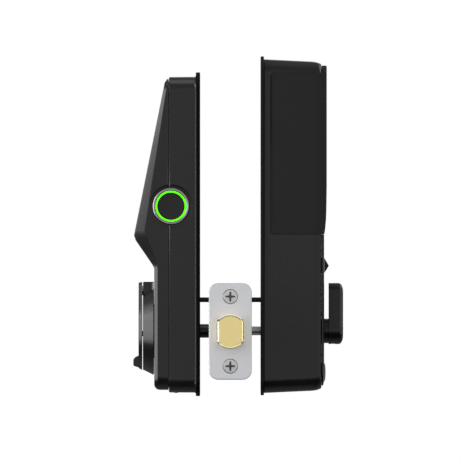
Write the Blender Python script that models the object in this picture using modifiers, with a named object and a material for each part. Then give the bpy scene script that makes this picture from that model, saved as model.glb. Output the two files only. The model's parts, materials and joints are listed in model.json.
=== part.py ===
"""Keypad smart lock: exterior unit, deadbolt and interior unit for a single-bore door.

Frame: the origin is on the axis of the door's cross bore, half way through the door.
+X points into the room, -Y points at the door's free edge and +Z is up.
All dimensions below are in millimetres and the mesh helpers turn them into metres.
"""

import math

import bmesh
import bpy
from mathutils import Matrix, Vector

MM = 0.001
GAP = 0.3

# Door that the lock is made for
DOOR_HALF = 18.0
BACKSET = 60.0
BORE_CLEAR_RADIUS = 25.0

# Exterior unit
EXT_GASKET_FRONT = -20.5
EXT_BACK = -20.8
EXT_SEAM = -36.6
SEAM_HALF = 0.45
EXT_HALF_WIDTH = 36.0
EXT_TOP = 150.8
EXT_BOTTOM = -36.4
EXT_CORNER = 8.0
SHELL_TOP = 149.6
SHELL_BOTTOM = -34.9
SHELL_WALL = 2.6
LOWER_FACE = -45.15
APEX = (-57.1, 57.2)
UNDERCUT = ((LOWER_FACE, 37.2), (-46.3, 39.5), (-52.0, 47.8), (-56.0, 53.6), (-57.05, 56.3))
SLOPE_TOP = (-39.2, 146.2)
FRONT_EDGE_RADIUS = 3.4
SENSOR_X = -35.2
SENSOR_Z = 74.1
SENSOR_HOLE = 11.1
GLASS_WIDTH = 60.0
GLASS_HEIGHT = 80.0

# Key cylinder and its swinging cover
CYLINDER_RADIUS = 16.0
CYLINDER_FRONT = -51.2
PLUG_RADIUS = 6.5
GUARD_FRONT = -51.7
GUARD_RADIUS = 23.3
GUARD_FOOT_RADIUS = 26.3
TAB_HALF = 8.0
TAB_TOP = 29.2
COVER_FRONT = -54.4
COVER_BACK = -52.7
COVER_RADIUS = 23.3
PIVOT_Z = 24.0

# Deadbolt
BOLT_THROW = 25.4
BOLT_RADIUS = 9.65
BOLT_HALF = 7.6
FACEPLATE_HALF_WIDTH = 12.7
FACEPLATE_HALF_HEIGHT = 28.6
FACEPLATE_THICK = 2.4
FACEPLATE_SCREW_Z = 20.6
CRANK_RADIUS = 17.96
CRANK_REST = math.radians(-45.0)
TAILPIECE_HALF_Y = 1.2
TAILPIECE_HALF_Z = 2.6
THROUGH_BOLT_Y = 19.0

# Interior unit
INT_BACK = 20.3
INT_HALF_WIDTH = 38.0
INT_FRONT = 54.0
FRONT_WALL_BACK = 51.4
PANEL_BACK = 54.3
FASCIA_FRONT = 55.7
COVER_PANEL_FRONT = 57.2
COVER_SPLIT_Z = 57.5
BUTTON_Z = -24.5
BUTTON_RADIUS = 5.65
NECK_RADIUS = 7.3
LEVER_BACK = 58.6
LEVER_FRONT = 67.1
CELL_RADIUS = 7.25
CELL_PITCH = 15.4
CELL_BOTTOM = 74.0
CELL_TOP = 124.5

# Gear train
GEAR_MODULE = 0.8
DRIVE_TEETH = 36
IDLER_TEETH = 24
PINION_TEETH = 12
GEAR_BACK = 41.0
GEAR_FRONT = 45.0
IDLER_Y = 12.0
IDLER_Z = 20.8
PINION_Z = 35.2

# Finishes: base colour, roughness, metallic
FINISHES = {
    "casing": ((0.030, 0.030, 0.032), 0.45, 0.0),
    "rubber": ((0.008, 0.008, 0.008), 0.75, 0.0),
    "gloss": ((0.006, 0.006, 0.007), 0.10, 0.0),
    "steel": ((0.55, 0.54, 0.55), 0.30, 1.0),
    "satin": ((0.60, 0.58, 0.60), 0.38, 1.0),
    "brass": ((0.78, 0.66, 0.30), 0.22, 1.0),
    "light": ((0.10, 0.90, 0.03), 0.35, 0.0),
    "board": ((0.02, 0.10, 0.04), 0.50, 0.0),
    "diffuser": ((0.75, 0.75, 0.72), 0.60, 0.0),
    "plastic": ((0.04, 0.04, 0.04), 0.60, 0.0),
    "acetal": ((0.75, 0.74, 0.70), 0.45, 0.0),
    "cell": ((0.12, 0.12, 0.14), 0.35, 0.2),
}

# Local axes of an outline drawn in two dimensions and raised along a world axis
RAISE = {
    "x": Matrix(((0, 0, 1, 0), (1, 0, 0, 0), (0, 1, 0, 0), (0, 0, 0, 1))),
    "y": Matrix(((1, 0, 0, 0), (0, 0, -1, 0), (0, 1, 0, 0), (0, 0, 0, 1))),
    "z": Matrix.Identity(4),
}


# ---------------------------------------------------------------- outlines

def arc(centre, radius, start, end, steps):
    """Points of an arc, angles in degrees."""
    points = []
    for i in range(steps + 1):
        angle = math.radians(start + (end - start) * i / steps)
        points.append((centre[0] + radius * math.cos(angle), centre[1] + radius * math.sin(angle)))
    return points


def circle(centre, radius, steps=32):
    return arc(centre, radius, 0, 360, steps)[:-1]


def rounded_rect(left, right, low, high, radii, steps=5):
    """Rectangle with rounded corners; radii in the order low left, low right, high right, high left."""
    if not isinstance(radii, tuple):
        radii = (radii,) * 4
    corners = ((left, low, 1, 1, 180), (right, low, -1, 1, 270), (right, high, -1, -1, 0), (left, high, 1, -1, 90))
    points = []
    for (u, v, su, sv, start), radius in zip(corners, radii):
        if radius == 0:
            points.append((u, v))
        else:
            points += arc((u + su * radius, v + sv * radius), radius, start, start + 90, steps)
    return points


def capsule(first, second, radius_first, radius_second, steps=10):
    """Two round ends joined by their outer tangents."""
    du, dv = second[0] - first[0], second[1] - first[1]
    heading = math.degrees(math.atan2(dv, du))
    lean = math.degrees(math.acos((radius_first - radius_second) / math.hypot(du, dv)))
    near = arc(first, radius_first, heading + lean, heading + 360 - lean, steps)
    far = arc(second, radius_second, heading - lean, heading + lean, steps)
    return near + far


def bolt_outline(radius, half_width, steps=8):
    """Round bar with flats on both sides."""
    side = math.degrees(math.acos(half_width / radius))
    return arc((0, 0), radius, side, 180 - side, steps) + arc((0, 0), radius, 180 + side, 360 - side, steps)


def gear_outline(centre, teeth, phase):
    """Spur gear with flat-sided teeth; phase in tooth pitches."""
    pitch = GEAR_MODULE * teeth / 2
    tip, root = pitch + 0.85 * GEAR_MODULE, pitch - 1.2 * GEAR_MODULE
    step = 2 * math.pi / teeth
    points = []
    for i in range(teeth):
        for share, radius in ((-0.32, root), (-0.12, tip), (0.12, tip), (0.32, root)):
            angle = (i + phase + share) * step
            points.append((centre[0] + radius * math.cos(angle), centre[1] + radius * math.sin(angle)))
    return points


# ---------------------------------------------------------------- meshes

def to_mesh(bm):
    bmesh.ops.remove_doubles(bm, verts=bm.verts, dist=1e-6)
    bmesh.ops.recalc_face_normals(bm, faces=bm.faces)
    mesh = bpy.data.meshes.new("solid")
    bm.to_mesh(mesh)
    bm.free()
    return mesh


def evaluated(temporary):
    """Mesh of a temporary object with its modifiers, welded and turned outward."""
    depsgraph = bpy.context.evaluated_depsgraph_get()
    raw = bpy.data.meshes.new_from_object(temporary.evaluated_get(depsgraph))
    bpy.data.objects.remove(temporary, do_unlink=True)
    bm = bmesh.new()
    bm.from_mesh(raw)
    bpy.data.meshes.remove(raw)
    return to_mesh(bm)


def slab(outlines, axis, start, end, matrix=None):
    """Flat outlines, the later ones being holes, raised from start to end along an axis."""
    curve = bpy.data.curves.new("outline", "CURVE")
    curve.dimensions = "2D"
    curve.fill_mode = "BOTH"
    curve.extrude = abs(end - start) / 2 * MM
    for outline in outlines:
        spline = curve.splines.new("POLY")
        spline.points.add(len(outline) - 1)
        for point, (u, v) in zip(spline.points, outline):
            point.co = (u * MM, v * MM, 0, 1)
        spline.use_cyclic_u = True
    temporary = bpy.data.objects.new("outline", curve)
    bpy.context.scene.collection.objects.link(temporary)
    mesh = evaluated(temporary)
    middle = (start + end) / 2 * MM
    along = -middle if axis == "y" else middle
    mesh.transform((matrix or RAISE[axis]) @ Matrix.Translation((0, 0, along)))
    return mesh


def block(low, high):
    centre = [(a + b) / 2 * MM for a, b in zip(low, high)]
    size = [(b - a) * MM for a, b in zip(low, high)]
    bm = bmesh.new()
    bmesh.ops.create_cube(bm, size=1, matrix=Matrix.Translation(centre) @ Matrix.Diagonal((*size, 1)))
    return to_mesh(bm)


def rod(axis, centre, radius, start, end, end_radius=None, steps=32):
    """Round bar or cone along an axis; centre holds the two other coordinates in the order of RAISE."""
    bm = bmesh.new()
    middle = (start + end) / 2
    along = -middle if axis == "y" else middle
    first = radius
    last = radius if end_radius is None else end_radius
    if axis == "y":
        first, last = last, first
    bmesh.ops.create_cone(
        bm, cap_ends=True, segments=steps, radius1=first * MM, radius2=last * MM, depth=abs(end - start) * MM,
        matrix=RAISE[axis] @ Matrix.Translation((centre[0] * MM, centre[1] * MM, along * MM)))
    return to_mesh(bm)


def turned(profile, axis, centre, steps=32):
    """Closed turned shape; the profile lists (radius, height) and starts and ends on the axis."""
    bm = bmesh.new()
    verts = [bm.verts.new((radius * MM, 0, height * MM)) for radius, height in profile]
    for first, second in zip(verts, verts[1:]):
        bm.edges.new((first, second))
    mesh = bpy.data.meshes.new("profile")
    bm.to_mesh(mesh)
    bm.free()
    temporary = bpy.data.objects.new("profile", mesh)
    bpy.context.scene.collection.objects.link(temporary)
    screw = temporary.modifiers.new("turn", "SCREW")
    screw.axis = "Z"
    screw.steps = steps
    screw.render_steps = steps
    screw.use_merge_vertices = True
    screw.merge_threshold = 0.000001
    result = evaluated(temporary)
    result.transform(RAISE[axis] @ Matrix.Translation((centre[0] * MM, centre[1] * MM, 0)))
    return result


def loft(sections):
    """Skin through closed sections with equal numbers of points, in world millimetres."""
    bm = bmesh.new()
    rings = []
    for section in sections:
        rings.append([bm.verts.new([value * MM for value in point]) for point in section])
    for lower, upper in zip(rings, rings[1:]):
        for i in range(len(lower)):
            j = (i + 1) % len(lower)
            bm.faces.new((lower[i], lower[j], upper[j], upper[i]))
    bm.faces.new(rings[0])
    bm.faces.new(rings[-1])
    return to_mesh(bm)


def swept_tube(route, radius):
    curve = bpy.data.curves.new("tube", "CURVE")
    curve.dimensions = "3D"
    curve.bevel_depth = radius * MM
    curve.bevel_resolution = 2
    curve.use_fill_caps = True
    spline = curve.splines.new("POLY")
    spline.points.add(len(route) - 1)
    for point, place in zip(spline.points, route):
        point.co = (*[value * MM for value in place], 1)
    temporary = bpy.data.objects.new("tube", curve)
    bpy.context.scene.collection.objects.link(temporary)
    return evaluated(temporary)


# ---------------------------------------------------------------- objects

def part(name, mesh, finish, pivot=(0, 0, 0), parent=None):
    """Named part with its own material; its origin is put on the pivot."""
    colour, roughness, metallic = FINISHES[finish]
    material = bpy.data.materials.new(name + "_finish")
    material.use_nodes = True
    shader = material.node_tree.nodes["Principled BSDF"]
    shader.inputs["Base Color"].default_value = (*colour, 1)
    shader.inputs["Roughness"].default_value = roughness
    shader.inputs["Metallic"].default_value = metallic
    place = Vector(pivot) * MM
    mesh.transform(Matrix.Translation(-place))
    mesh.name = name
    mesh.materials.append(material)
    thing = bpy.data.objects.new(name, mesh)
    PARTS.objects.link(thing)
    thing.location = place
    if parent:
        thing.parent = parent
        thing.matrix_parent_inverse = Matrix.Translation(parent.location).inverted()
    return thing


def boolean(thing, meshes, operation):
    for mesh in meshes:
        tool = bpy.data.objects.new(thing.name + "_tool", mesh)
        CUTTERS.objects.link(tool)
        tool.hide_render = True
        tool.display_type = "WIRE"
        modifier = thing.modifiers.new(operation.lower(), "BOOLEAN")
        modifier.operation = operation
        modifier.object = tool
        modifier.solver = "EXACT"


def cut(thing, *meshes):
    boolean(thing, meshes, "DIFFERENCE")


def join(thing, *meshes):
    boolean(thing, meshes, "UNION")


def axis_empty(name, place):
    empty = bpy.data.objects.new(name, None)
    empty.location = Vector(place) * MM
    bpy.context.scene.collection.objects.link(empty)
    return empty


# ---------------------------------------------------------------- exterior casing

def interpolate(table, z):
    """Straight-line reading of a short (z, value) table."""
    for (z0, v0), (z1, v1) in zip(table, table[1:]):
        if z <= z1:
            return v0 + (v1 - v0) * max(0.0, z - z0) / (z1 - z0)
    return table[-1][1]


def front_x(z):
    """Front surface of the casing in side view."""
    foot = SHELL_BOTTOM + FRONT_EDGE_RADIUS
    if z < foot:
        return LOWER_FACE + FRONT_EDGE_RADIUS - math.sqrt(max(0.0, FRONT_EDGE_RADIUS ** 2 - (foot - z) ** 2))
    if z > SLOPE_TOP[1]:
        rise = z - SLOPE_TOP[1]
        return SLOPE_TOP[0] + FRONT_EDGE_RADIUS - math.sqrt(max(0.0, FRONT_EDGE_RADIUS ** 2 - rise ** 2))
    corners = (*UNDERCUT, APEX, SLOPE_TOP)
    return interpolate(((foot, LOWER_FACE), *[corner[::-1] for corner in corners]), z)


def bevel_inner_x(z):
    """Line where the casing's side meets the bevel facet."""
    return interpolate(((-29.0, -43.05), (39.5, -43.05), (59.4, -50.8), (SLOPE_TOP[1], -37.5)), z)


def bevel_depth(z):
    """How far the bevel facet reaches across the front."""
    return interpolate(((-29.0, 1.2), (37.2, 1.2), (APEX[1], 2.1), (110.0, 1.85), (SLOPE_TOP[1], 0.85)), z)


def casing_half_width(z, low, high, half_width, corner):
    """Half width of a face whose four corners are rounded."""
    reach = max(low + corner - z, z - (high - corner), 0.0)
    return half_width - corner + math.sqrt(max(0.0, corner ** 2 - reach ** 2))


def shell_section(z, seam_x, wall):
    """Level section of the wedge, with walls taken off when it is the hollow."""
    half = casing_half_width(z, SHELL_BOTTOM, SHELL_TOP, EXT_HALF_WIDTH, EXT_CORNER)
    outer = min(front_x(z), EXT_SEAM - SEAM_HALF - 0.6) + wall
    inner = min(bevel_inner_x(z), EXT_SEAM - SEAM_HALF - 0.3) + wall
    inner = max(inner, outer + 0.1)
    side = half - 1.65 * wall
    face = half - bevel_depth(z) - wall
    return [(seam_x, -side, z), (inner, -side, z), (outer, -face, z),
            (outer, face, z), (inner, side, z), (seam_x, side, z)]


def exterior_gasket():
    outline = rounded_rect(-38.5, 38.5, -38.6, 153.6, 10.0)
    mesh = slab([outline, circle((0, 0), BORE_CLEAR_RADIUS, 40)], "x", EXT_GASKET_FRONT, -DOOR_HALF)
    part("exterior_gasket", mesh, "rubber")


def sensor_cutters():
    """Through hole and shallow bowl for the fingerprint sensor, on the side at -Y."""
    side = -EXT_HALF_WIDTH
    hole = rod("y", (SENSOR_X, SENSOR_Z), SENSOR_HOLE, side - 1, side + 12, steps=40)
    bowl = rod("y", (SENSOR_X, SENSOR_Z), 12.65, side - 1, side + 0.6, steps=40)
    return hole, bowl


def exterior_rear_housing():
    half, front = EXT_HALF_WIDTH, EXT_SEAM + SEAM_HALF
    flare = 0.35
    sections = []
    for x, grow in ((EXT_BACK, flare), (front, 0.0)):
        outline = rounded_rect(-half, half, EXT_BOTTOM - grow, EXT_TOP + grow, EXT_CORNER)
        sections.append([(x, y, z) for y, z in outline])
    housing = part("exterior_rear_housing", loft(sections), "casing")
    back_wall = EXT_BACK - 2.4
    cut(housing, slab([rounded_rect(-33.6, 33.6, -33.9, 148.4, 5.6)], "x", front - 1, back_wall))
    posts = [rod("x", (y, 0), 4.0, back_wall + 0.8, -9.0, steps=24) for y in (-THROUGH_BOLT_Y, THROUGH_BOLT_Y)]
    join(housing, *posts)
    holes = [rod("x", (y, 0), 2.35, back_wall - 1, -8.0, steps=20) for y in (-THROUGH_BOLT_Y, THROUGH_BOLT_Y)]
    cut(housing, *holes)
    cut(housing, slab([rounded_rect(-6, 6, -8, 24, 5.9)], "x", back_wall - 1, EXT_BACK + 1))
    cut(housing, *sensor_cutters())
    cut(housing, *[rod("z", (-33.0, y), 2.3, -38.0, -32.0, steps=20) for y in (-5.0, 5.0)])


def slope_frame():
    """Frame on the middle of the sloping face: x across, y up the slope and z out of it."""
    top, foot = Vector((SLOPE_TOP[0], 0, SLOPE_TOP[1])), Vector((APEX[0], 0, APEX[1]))
    up = (top - foot).normalized()
    across = Vector((0, -1, 0))
    out = across.cross(up)
    middle = (top + foot) / 2 * MM
    return Matrix.Translation(middle) @ Matrix((across, up, out)).transposed().to_4x4()


def slope_slab(width, height, corner, low, high):
    outline = rounded_rect(-width / 2, width / 2, -height / 2, height / 2, corner)
    return slab([outline], "z", low, high, slope_frame())


def exterior_front_shell():
    seam_x = EXT_SEAM - SEAM_HALF
    undercut = [z for x, z in UNDERCUT]
    levels = [SHELL_BOTTOM, -34.5, -33.6, -31.8, -29.4, -26.9, *undercut, APEX[1], 59.4,
              110.0, 141.6, 144.6, SLOPE_TOP[1], 147.6, 148.6, 149.2, SHELL_TOP]
    shell = part("exterior_front_shell", loft([shell_section(z, seam_x, 0.0) for z in levels]), "casing")
    lip = rounded_rect(-33.3, 33.3, -33.5, 148.0, 5.4)
    join(shell, slab([lip], "x", seam_x - 0.4, EXT_SEAM + 1.2))
    hollow_levels = [-32.2, -29.4, -26.9, *undercut, APEX[1], 59.4, 110.0, 141.6, 144.6, 146.4]
    cut(shell, loft([shell_section(z, EXT_SEAM + 3.0, SHELL_WALL) for z in hollow_levels]))
    cut(shell, slope_slab(GLASS_WIDTH + 2 * GAP, GLASS_HEIGHT + 2 * GAP, 6.3, -1.8, 4.0))
    cut(shell, slope_slab(47.0, 73.0, 3.0, -9.0, 4.0))
    cut(shell, rod("x", (0, 0), CYLINDER_RADIUS + GAP, LOWER_FACE - 1, LOWER_FACE + 6, steps=40))
    cut(shell, *sensor_cutters())


def keypad():
    glass = part("touch_glass", slope_slab(GLASS_WIDTH, GLASS_HEIGHT, 6.0, -1.5, 0.0), "gloss")
    glass.data.shade_smooth()
    glass.data.set_sharp_from_angle(angle=math.radians(30))
    part("keypad_light_guide", slope_slab(46.4, 72.4, 2.7, -3.1, -1.9), "diffuser")
    part("keypad_board", slope_slab(48.0, 76.0, 2.0, -5.2, -3.6), "board")


def exterior_main_board():
    board = part("exterior_main_board", block((-29.6, -26, 30), (-28.0, 26, 140)), "board")
    join(board, block((-28.2, -4, 36), (-24.6, 4, 41)), block((-33.0, 4, 84), (-29.4, 20, 104)))


def fingerprint_sensor():
    centre = (SENSOR_X, SENSOR_Z)
    side = -EXT_HALF_WIDTH
    bezel = slab([circle(centre, 10.8, 40), circle(centre, 9.5, 40)], "y", side - 0.4, side + 4.5)
    part("fingerprint_bezel", bezel, "satin")
    ring = slab([circle(centre, 9.2, 40), circle(centre, 8.15, 40)], "y", side - 0.2, side + 4.0)
    part("fingerprint_light_ring", ring, "light")
    part("fingerprint_sensor", rod("y", centre, 7.85, side + 0.1, side + 6.5, steps=40), "plastic")


def emergency_contacts():
    for name, y in (("emergency_contact_front", -5.0), ("emergency_contact_rear", 5.0)):
        part(name, rod("z", (-33.0, y), 2.0, -36.9, -31.0, steps=20), "steel")


# ---------------------------------------------------------------- key cylinder

def cylinder_guard():
    foot = LOWER_FACE - GAP
    guard = part("cylinder_guard", rod("x", (0, 0), GUARD_RADIUS, GUARD_FRONT, foot, GUARD_FOOT_RADIUS, 48), "casing")
    bumper = rod("x", (-19.5, -1.5), 1.7, GUARD_FRONT - 0.6, GUARD_FRONT + 0.5, steps=16)
    join(guard, block((GUARD_FRONT + 0.1, -TAB_HALF, 12), (foot - 0.1, TAB_HALF, TAB_TOP)), bumper)
    cut(guard, rod("x", (0, 0), CYLINDER_RADIUS + GAP, GUARD_FRONT - 1, foot + 1, steps=40))
    cut(guard, rod("x", (0, PIVOT_Z), 1.8, GUARD_FRONT - 1, -46.6, steps=16))


def key_cylinder():
    body = slab([circle((0, 0), CYLINDER_RADIUS, 40), circle((0, 0), PLUG_RADIUS + GAP, 32)],
                "x", CYLINDER_FRONT, -38.5)
    part("cylinder_body", body, "steel")
    plug = part("key_plug", rod("x", (0, 0), PLUG_RADIUS, CYLINDER_FRONT, -36.6), "brass")
    cut(plug, block((CYLINDER_FRONT - 1, -1.0, -4.6), (-41.0, 1.0, 4.0)))
    cut(plug, block((CYLINDER_FRONT - 1, -2.0, -0.6), (-41.0, 0.0, 0.6)))
    ring = slab([circle((0, 0), 9.0, 32), circle((0, 0), PLUG_RADIUS + GAP, 32)], "x", -38.2, -37.0)
    part("plug_retainer", ring, "steel")


def key_cover():
    pivot = (COVER_FRONT, 0, PIVOT_Z)
    outline = capsule((0, 0), (0, TAB_TOP - TAB_HALF), COVER_RADIUS, TAB_HALF, 20)
    cover = part("key_cover", slab([outline], "x", COVER_FRONT, COVER_BACK), "casing", pivot)
    nub = [(-53.6, -14.6), (-55.4, -15.0), (-57.3, -16.4), (-57.7, -17.4), (-57.7, -20.0), (-57.3, -20.9), (-53.6, -22.0)]
    join(cover, slab([nub], "y", -7.0, 7.0))
    cut(cover, rod("x", (0, PIVOT_Z), 1.8, COVER_FRONT - 1, COVER_BACK + 1, steps=16))
    cut(cover, rod("x", (0, PIVOT_Z), 3.5, COVER_FRONT - 1, COVER_FRONT + 0.8, steps=24))
    pin = part("key_cover_pivot", rod("x", (0, PIVOT_Z), 1.5, COVER_FRONT + 0.4, -47.0, steps=16), "steel")
    join(pin, rod("x", (0, PIVOT_Z), 3.2, COVER_FRONT, COVER_FRONT + 0.5, steps=24))
    join(pin, rod("x", (0, PIVOT_Z), 2.9, COVER_BACK + 0.25, GUARD_FRONT - 0.2, steps=16))
    cut(pin, block((COVER_FRONT - 0.5, -2.2, PIVOT_Z - 0.35), (COVER_FRONT + 0.3, 2.2, PIVOT_Z + 0.35)))


# ---------------------------------------------------------------- turning train

def tailpiece(axis):
    bar = part("tailpiece", block((-35.0, -TAILPIECE_HALF_Y, -TAILPIECE_HALF_Z),
                                  (33.5, TAILPIECE_HALF_Y, TAILPIECE_HALF_Z)), "steel", parent=axis)
    join(bar, rod("x", (0, 0), 5.5, -36.3, -34.3, steps=24))


def cam_hub(axis):
    hub = part("cam_hub", rod("x", (0, 0), 6.4, -6.3, 6.3), "steel", parent=axis)
    tip = (CRANK_RADIUS * math.sin(CRANK_REST), -CRANK_RADIUS * math.cos(CRANK_REST))
    join(hub, rod("x", (0, 0), 5.0, -8.6, 8.6, steps=24))
    join(hub, slab([capsule((0, 0), tip, 2.6, 2.4)], "x", -2.3, 2.3))
    join(hub, rod("x", tip, 2.0, -4.9, 4.9, steps=20))
    cut(hub, block((-10, -TAILPIECE_HALF_Y - GAP, -TAILPIECE_HALF_Z - GAP),
                   (10, TAILPIECE_HALF_Y + GAP, TAILPIECE_HALF_Z + GAP)))


def thumbturn(axis):
    spindle = part("thumbturn_spindle", rod("x", (0, 0), 5.0, 30.0, 61.6), "steel", parent=axis)
    cut(spindle, block((29, -TAILPIECE_HALF_Y - GAP, -TAILPIECE_HALF_Z - GAP),
                       (35.0, TAILPIECE_HALF_Y + GAP, TAILPIECE_HALF_Z + GAP)))
    gear = slab([gear_outline((0, 0), DRIVE_TEETH, 0.0), circle((0, 0), 5.3, 32)], "x", GEAR_BACK, GEAR_FRONT)
    part("drive_gear", gear, "acetal", parent=axis)
    sections = []
    for x, inset in ((LEVER_BACK, 0.3), (LEVER_BACK + 0.3, 0), (64.4, 0), (65.8, 0.36), (66.7, 1.1), (LEVER_FRONT, 2.7)):
        outline = capsule((0, 0), (0, 23.5), 7.9 - inset, 5.0 - inset, 12)
        sections.append([(x, y, z) for y, z in outline])
    lever = part("thumbturn_lever", loft(sections), "casing", parent=axis)
    join(lever, rod("x", (0, 0), NECK_RADIUS, 52.0, LEVER_BACK + 0.2, steps=40))
    cut(lever, rod("x", (0, 0), 5.3, 51.0, 62.0))
    cut(lever, rod("z", (60.9, 0), 1.8, -10.0, -4.0, steps=16))
    screw = part("lever_set_screw", rod("z", (60.9, 0), 1.5, -7.5, -5.4, steps=16), "steel", parent=axis)
    cut(screw, rod("z", (60.9, 0), 0.8, -8.0, -6.3, steps=6))


# ---------------------------------------------------------------- deadbolt

def faceplate_and_back():
    front = -BACKSET
    opening = bolt_outline(BOLT_RADIUS + 0.4, BOLT_HALF + 0.4)
    outline = rounded_rect(-FACEPLATE_HALF_WIDTH, FACEPLATE_HALF_WIDTH, -FACEPLATE_HALF_HEIGHT,
                           FACEPLATE_HALF_HEIGHT, 5.6)
    plate = part("faceplate", slab([outline, opening], "y", front, front + FACEPLATE_THICK), "satin")
    for z in (-FACEPLATE_SCREW_Z, FACEPLATE_SCREW_Z):
        cut(plate, rod("y", (0, z), 2.3, front - 1, front + 4, steps=20))
        cut(plate, rod("y", (0, z), 4.55, front - 0.05, front + 2.2, 2.3, 32))
    back = rounded_rect(-11.5, 11.5, -27.4, 27.4, 5.0)
    holes = [circle((0, z), 2.3, 20) for z in (-FACEPLATE_SCREW_Z, FACEPLATE_SCREW_Z)]
    start = front + FACEPLATE_THICK + GAP
    part("backplate", slab([back, opening, *holes], "y", start, start + 1.2), "steel")


def faceplate_screws():
    front = -BACKSET
    for name, z in (("faceplate_screw_upper", FACEPLATE_SCREW_Z), ("faceplate_screw_lower", -FACEPLATE_SCREW_Z)):
        screw = part(name, rod("y", (0, z), 4.25, front + 0.05, front + 2.2, 2.0, 32), "steel")
        join(screw, rod("y", (0, z), 1.95, front + 2.0, front + 18, steps=20))
        join(screw, rod("y", (0, z), 1.95, front + 17.9, front + 22, 0.3, 20))
        for a, b in ((0.45, 2.2), (2.2, 0.45)):
            cut(screw, block((-a, front - 1, z - b), (a, front + 1.3, z + b)))


def bolt(axis):
    sections = []
    for y, inset in ((-BACKSET - BOLT_THROW, 1.3), (-BACKSET - BOLT_THROW + 1.3, 0), (-52.0, 0)):
        outline = bolt_outline(BOLT_RADIUS - inset, BOLT_HALF - inset)
        sections.append([(x, y, z) for x, z in outline])
    part("bolt", loft(sections), "brass", parent=axis)


def bolt_tail(axis):
    """Bar behind the bolt with a fork that the crank pin drives; the fork is open downward."""
    pin = CRANK_RADIUS * math.sin(CRANK_REST)
    slot, wall = 2.9, 2.0
    foot, bar_low, bar_high = -19.0, -9.3, -6.9
    inner, outer = slot, slot + wall
    fork = [(pin - 13.2, bar_high), (pin - 13.2, bar_low), (pin - outer, bar_low), (pin - outer, foot),
            (pin - inner, foot), (pin - inner, bar_low), (pin + inner, bar_low), (pin + inner, foot),
            (pin + outer, foot), (pin + outer, bar_high)]
    tail = part("bolt_tail", slab([fork], "x", -4.4, 4.4), "steel", parent=axis)
    join(tail, block((-3.0, -51.7, bar_low), (3.0, pin - 12, bar_high)))
    cut(tail, block((-2.6, pin - 9.5, foot - 1), (2.6, pin + outer + 1, bar_high + 1)))


def bolt_housing():
    sleeve = slab([circle((0, 0), 12.4, 40), circle((0, 0), 10.1, 40)], "y", -55.8, -26.4)
    part("bolt_sleeve", sleeve, "steel")
    outer, wall, top, foot = 7.9, 1.2, 11.5, -19.5
    channel = [(-outer, foot), (-outer + wall, foot), (-outer + wall, top - wall), (outer - wall, top - wall),
               (outer - wall, foot), (outer, foot), (outer, top), (-outer, top)]
    case = part("bolt_case", slab([channel], "y", -26.1, 15.0), "steel")
    cut(case, block((-9, -27, foot - 1), (9, -18.4, -12.0)))
    cut(case, rod("x", (0, 0), 5.3, -9, 9))
    cut(case, rod("x", (-THROUGH_BOLT_Y, 0), 2.6, -9, 9, steps=20))


def through_bolts():
    for name, y in (("through_bolt_front", -THROUGH_BOLT_Y), ("through_bolt_rear", THROUGH_BOLT_Y)):
        bolt_part = part(name, rod("x", (y, 0), 2.0, -14.0, 22.6, steps=20), "steel")
        join(bolt_part, rod("x", (y, 0), 3.75, 22.3, 24.9, steps=28))
        for a, b in ((0.45, 2.2), (2.2, 0.45)):
            cut(bolt_part, block((23.6, y - a, -b), (26, y + a, b)))


# ---------------------------------------------------------------- interior casing

def interior_gasket_and_plate():
    gasket = rounded_rect(-40, 40, -38.1, 163.1, 9.0)
    mesh = slab([gasket, circle((0, 0), BORE_CLEAR_RADIUS, 40)], "x", DOOR_HALF, INT_BACK - GAP)
    part("interior_gasket", mesh, "rubber")
    plate = rounded_rect(-33.8, 33.8, -32.5, 156.5, 5.0)
    window = rounded_rect(-8, 8, -9, 27, 7.9)
    holes = [circle((y, 0), 2.3, 20) for y in (-THROUGH_BOLT_Y, THROUGH_BOLT_Y)]
    part("mounting_plate", slab([plate, window, *holes], "x", INT_BACK + 0.1, 22.0), "steel")


def interior_housing():
    sections = []
    rim = ((INT_BACK, -36.7, 161.3, 0.0), (48.5, -35.4, 159.95, 0.0), (51.0, -35.05, 159.6, 0.35),
           (52.9, -34.4, 159.0, 1.2), (INT_FRONT, -33.7, 158.3, 2.3))
    for x, low, high, inset in rim:
        outline = rounded_rect(-INT_HALF_WIDTH + inset, INT_HALF_WIDTH - inset, low, high, 8.0)
        sections.append([(x, y, z) for y, z in outline])
    housing = part("interior_housing", loft(sections), "casing")
    cut(housing, slab([rounded_rect(-34.2, 34.2, -33.0, 157.2, 5.4)], "x", INT_BACK - 1, FRONT_WALL_BACK))
    cut(housing, slab([rounded_rect(-32.9, 32.9, 62.5, 151.5, 3.0)], "x", FRONT_WALL_BACK - 1, INT_FRONT + 1))
    for near, far in ((-40.0, -36.2), (36.2, 40.0)):
        cut(housing, slab([rounded_rect(23.7, 58.0, 57.3, 153.3, (2.3, 0, 0, 2.3))], "y", near, far))
    cut(housing, rod("x", (0, 0), NECK_RADIUS + 0.4, FRONT_WALL_BACK - 1, INT_FRONT + 1, steps=40))
    cut(housing, rod("x", (0, BUTTON_Z), BUTTON_RADIUS + GAP, FRONT_WALL_BACK - 1, INT_FRONT + 1))
    cut(housing, block((FRONT_WALL_BACK - 1, -9.4, 27.6), (INT_FRONT + 1, 9.4, 46.5)))


def front_fascia():
    outline = rounded_rect(-36.0, 36.0, -32.4, COVER_SPLIT_Z - 0.2, (8.0, 8.0, 0, 0))
    holes = [circle((0, 0), NECK_RADIUS + 0.4, 40), circle((0, BUTTON_Z), BUTTON_RADIUS + GAP, 32),
             rounded_rect(-7.4, 7.4, 30.6, 43.9, 0)]
    part("front_fascia", slab([outline, *holes], "x", PANEL_BACK, FASCIA_FRONT), "gloss")


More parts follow.
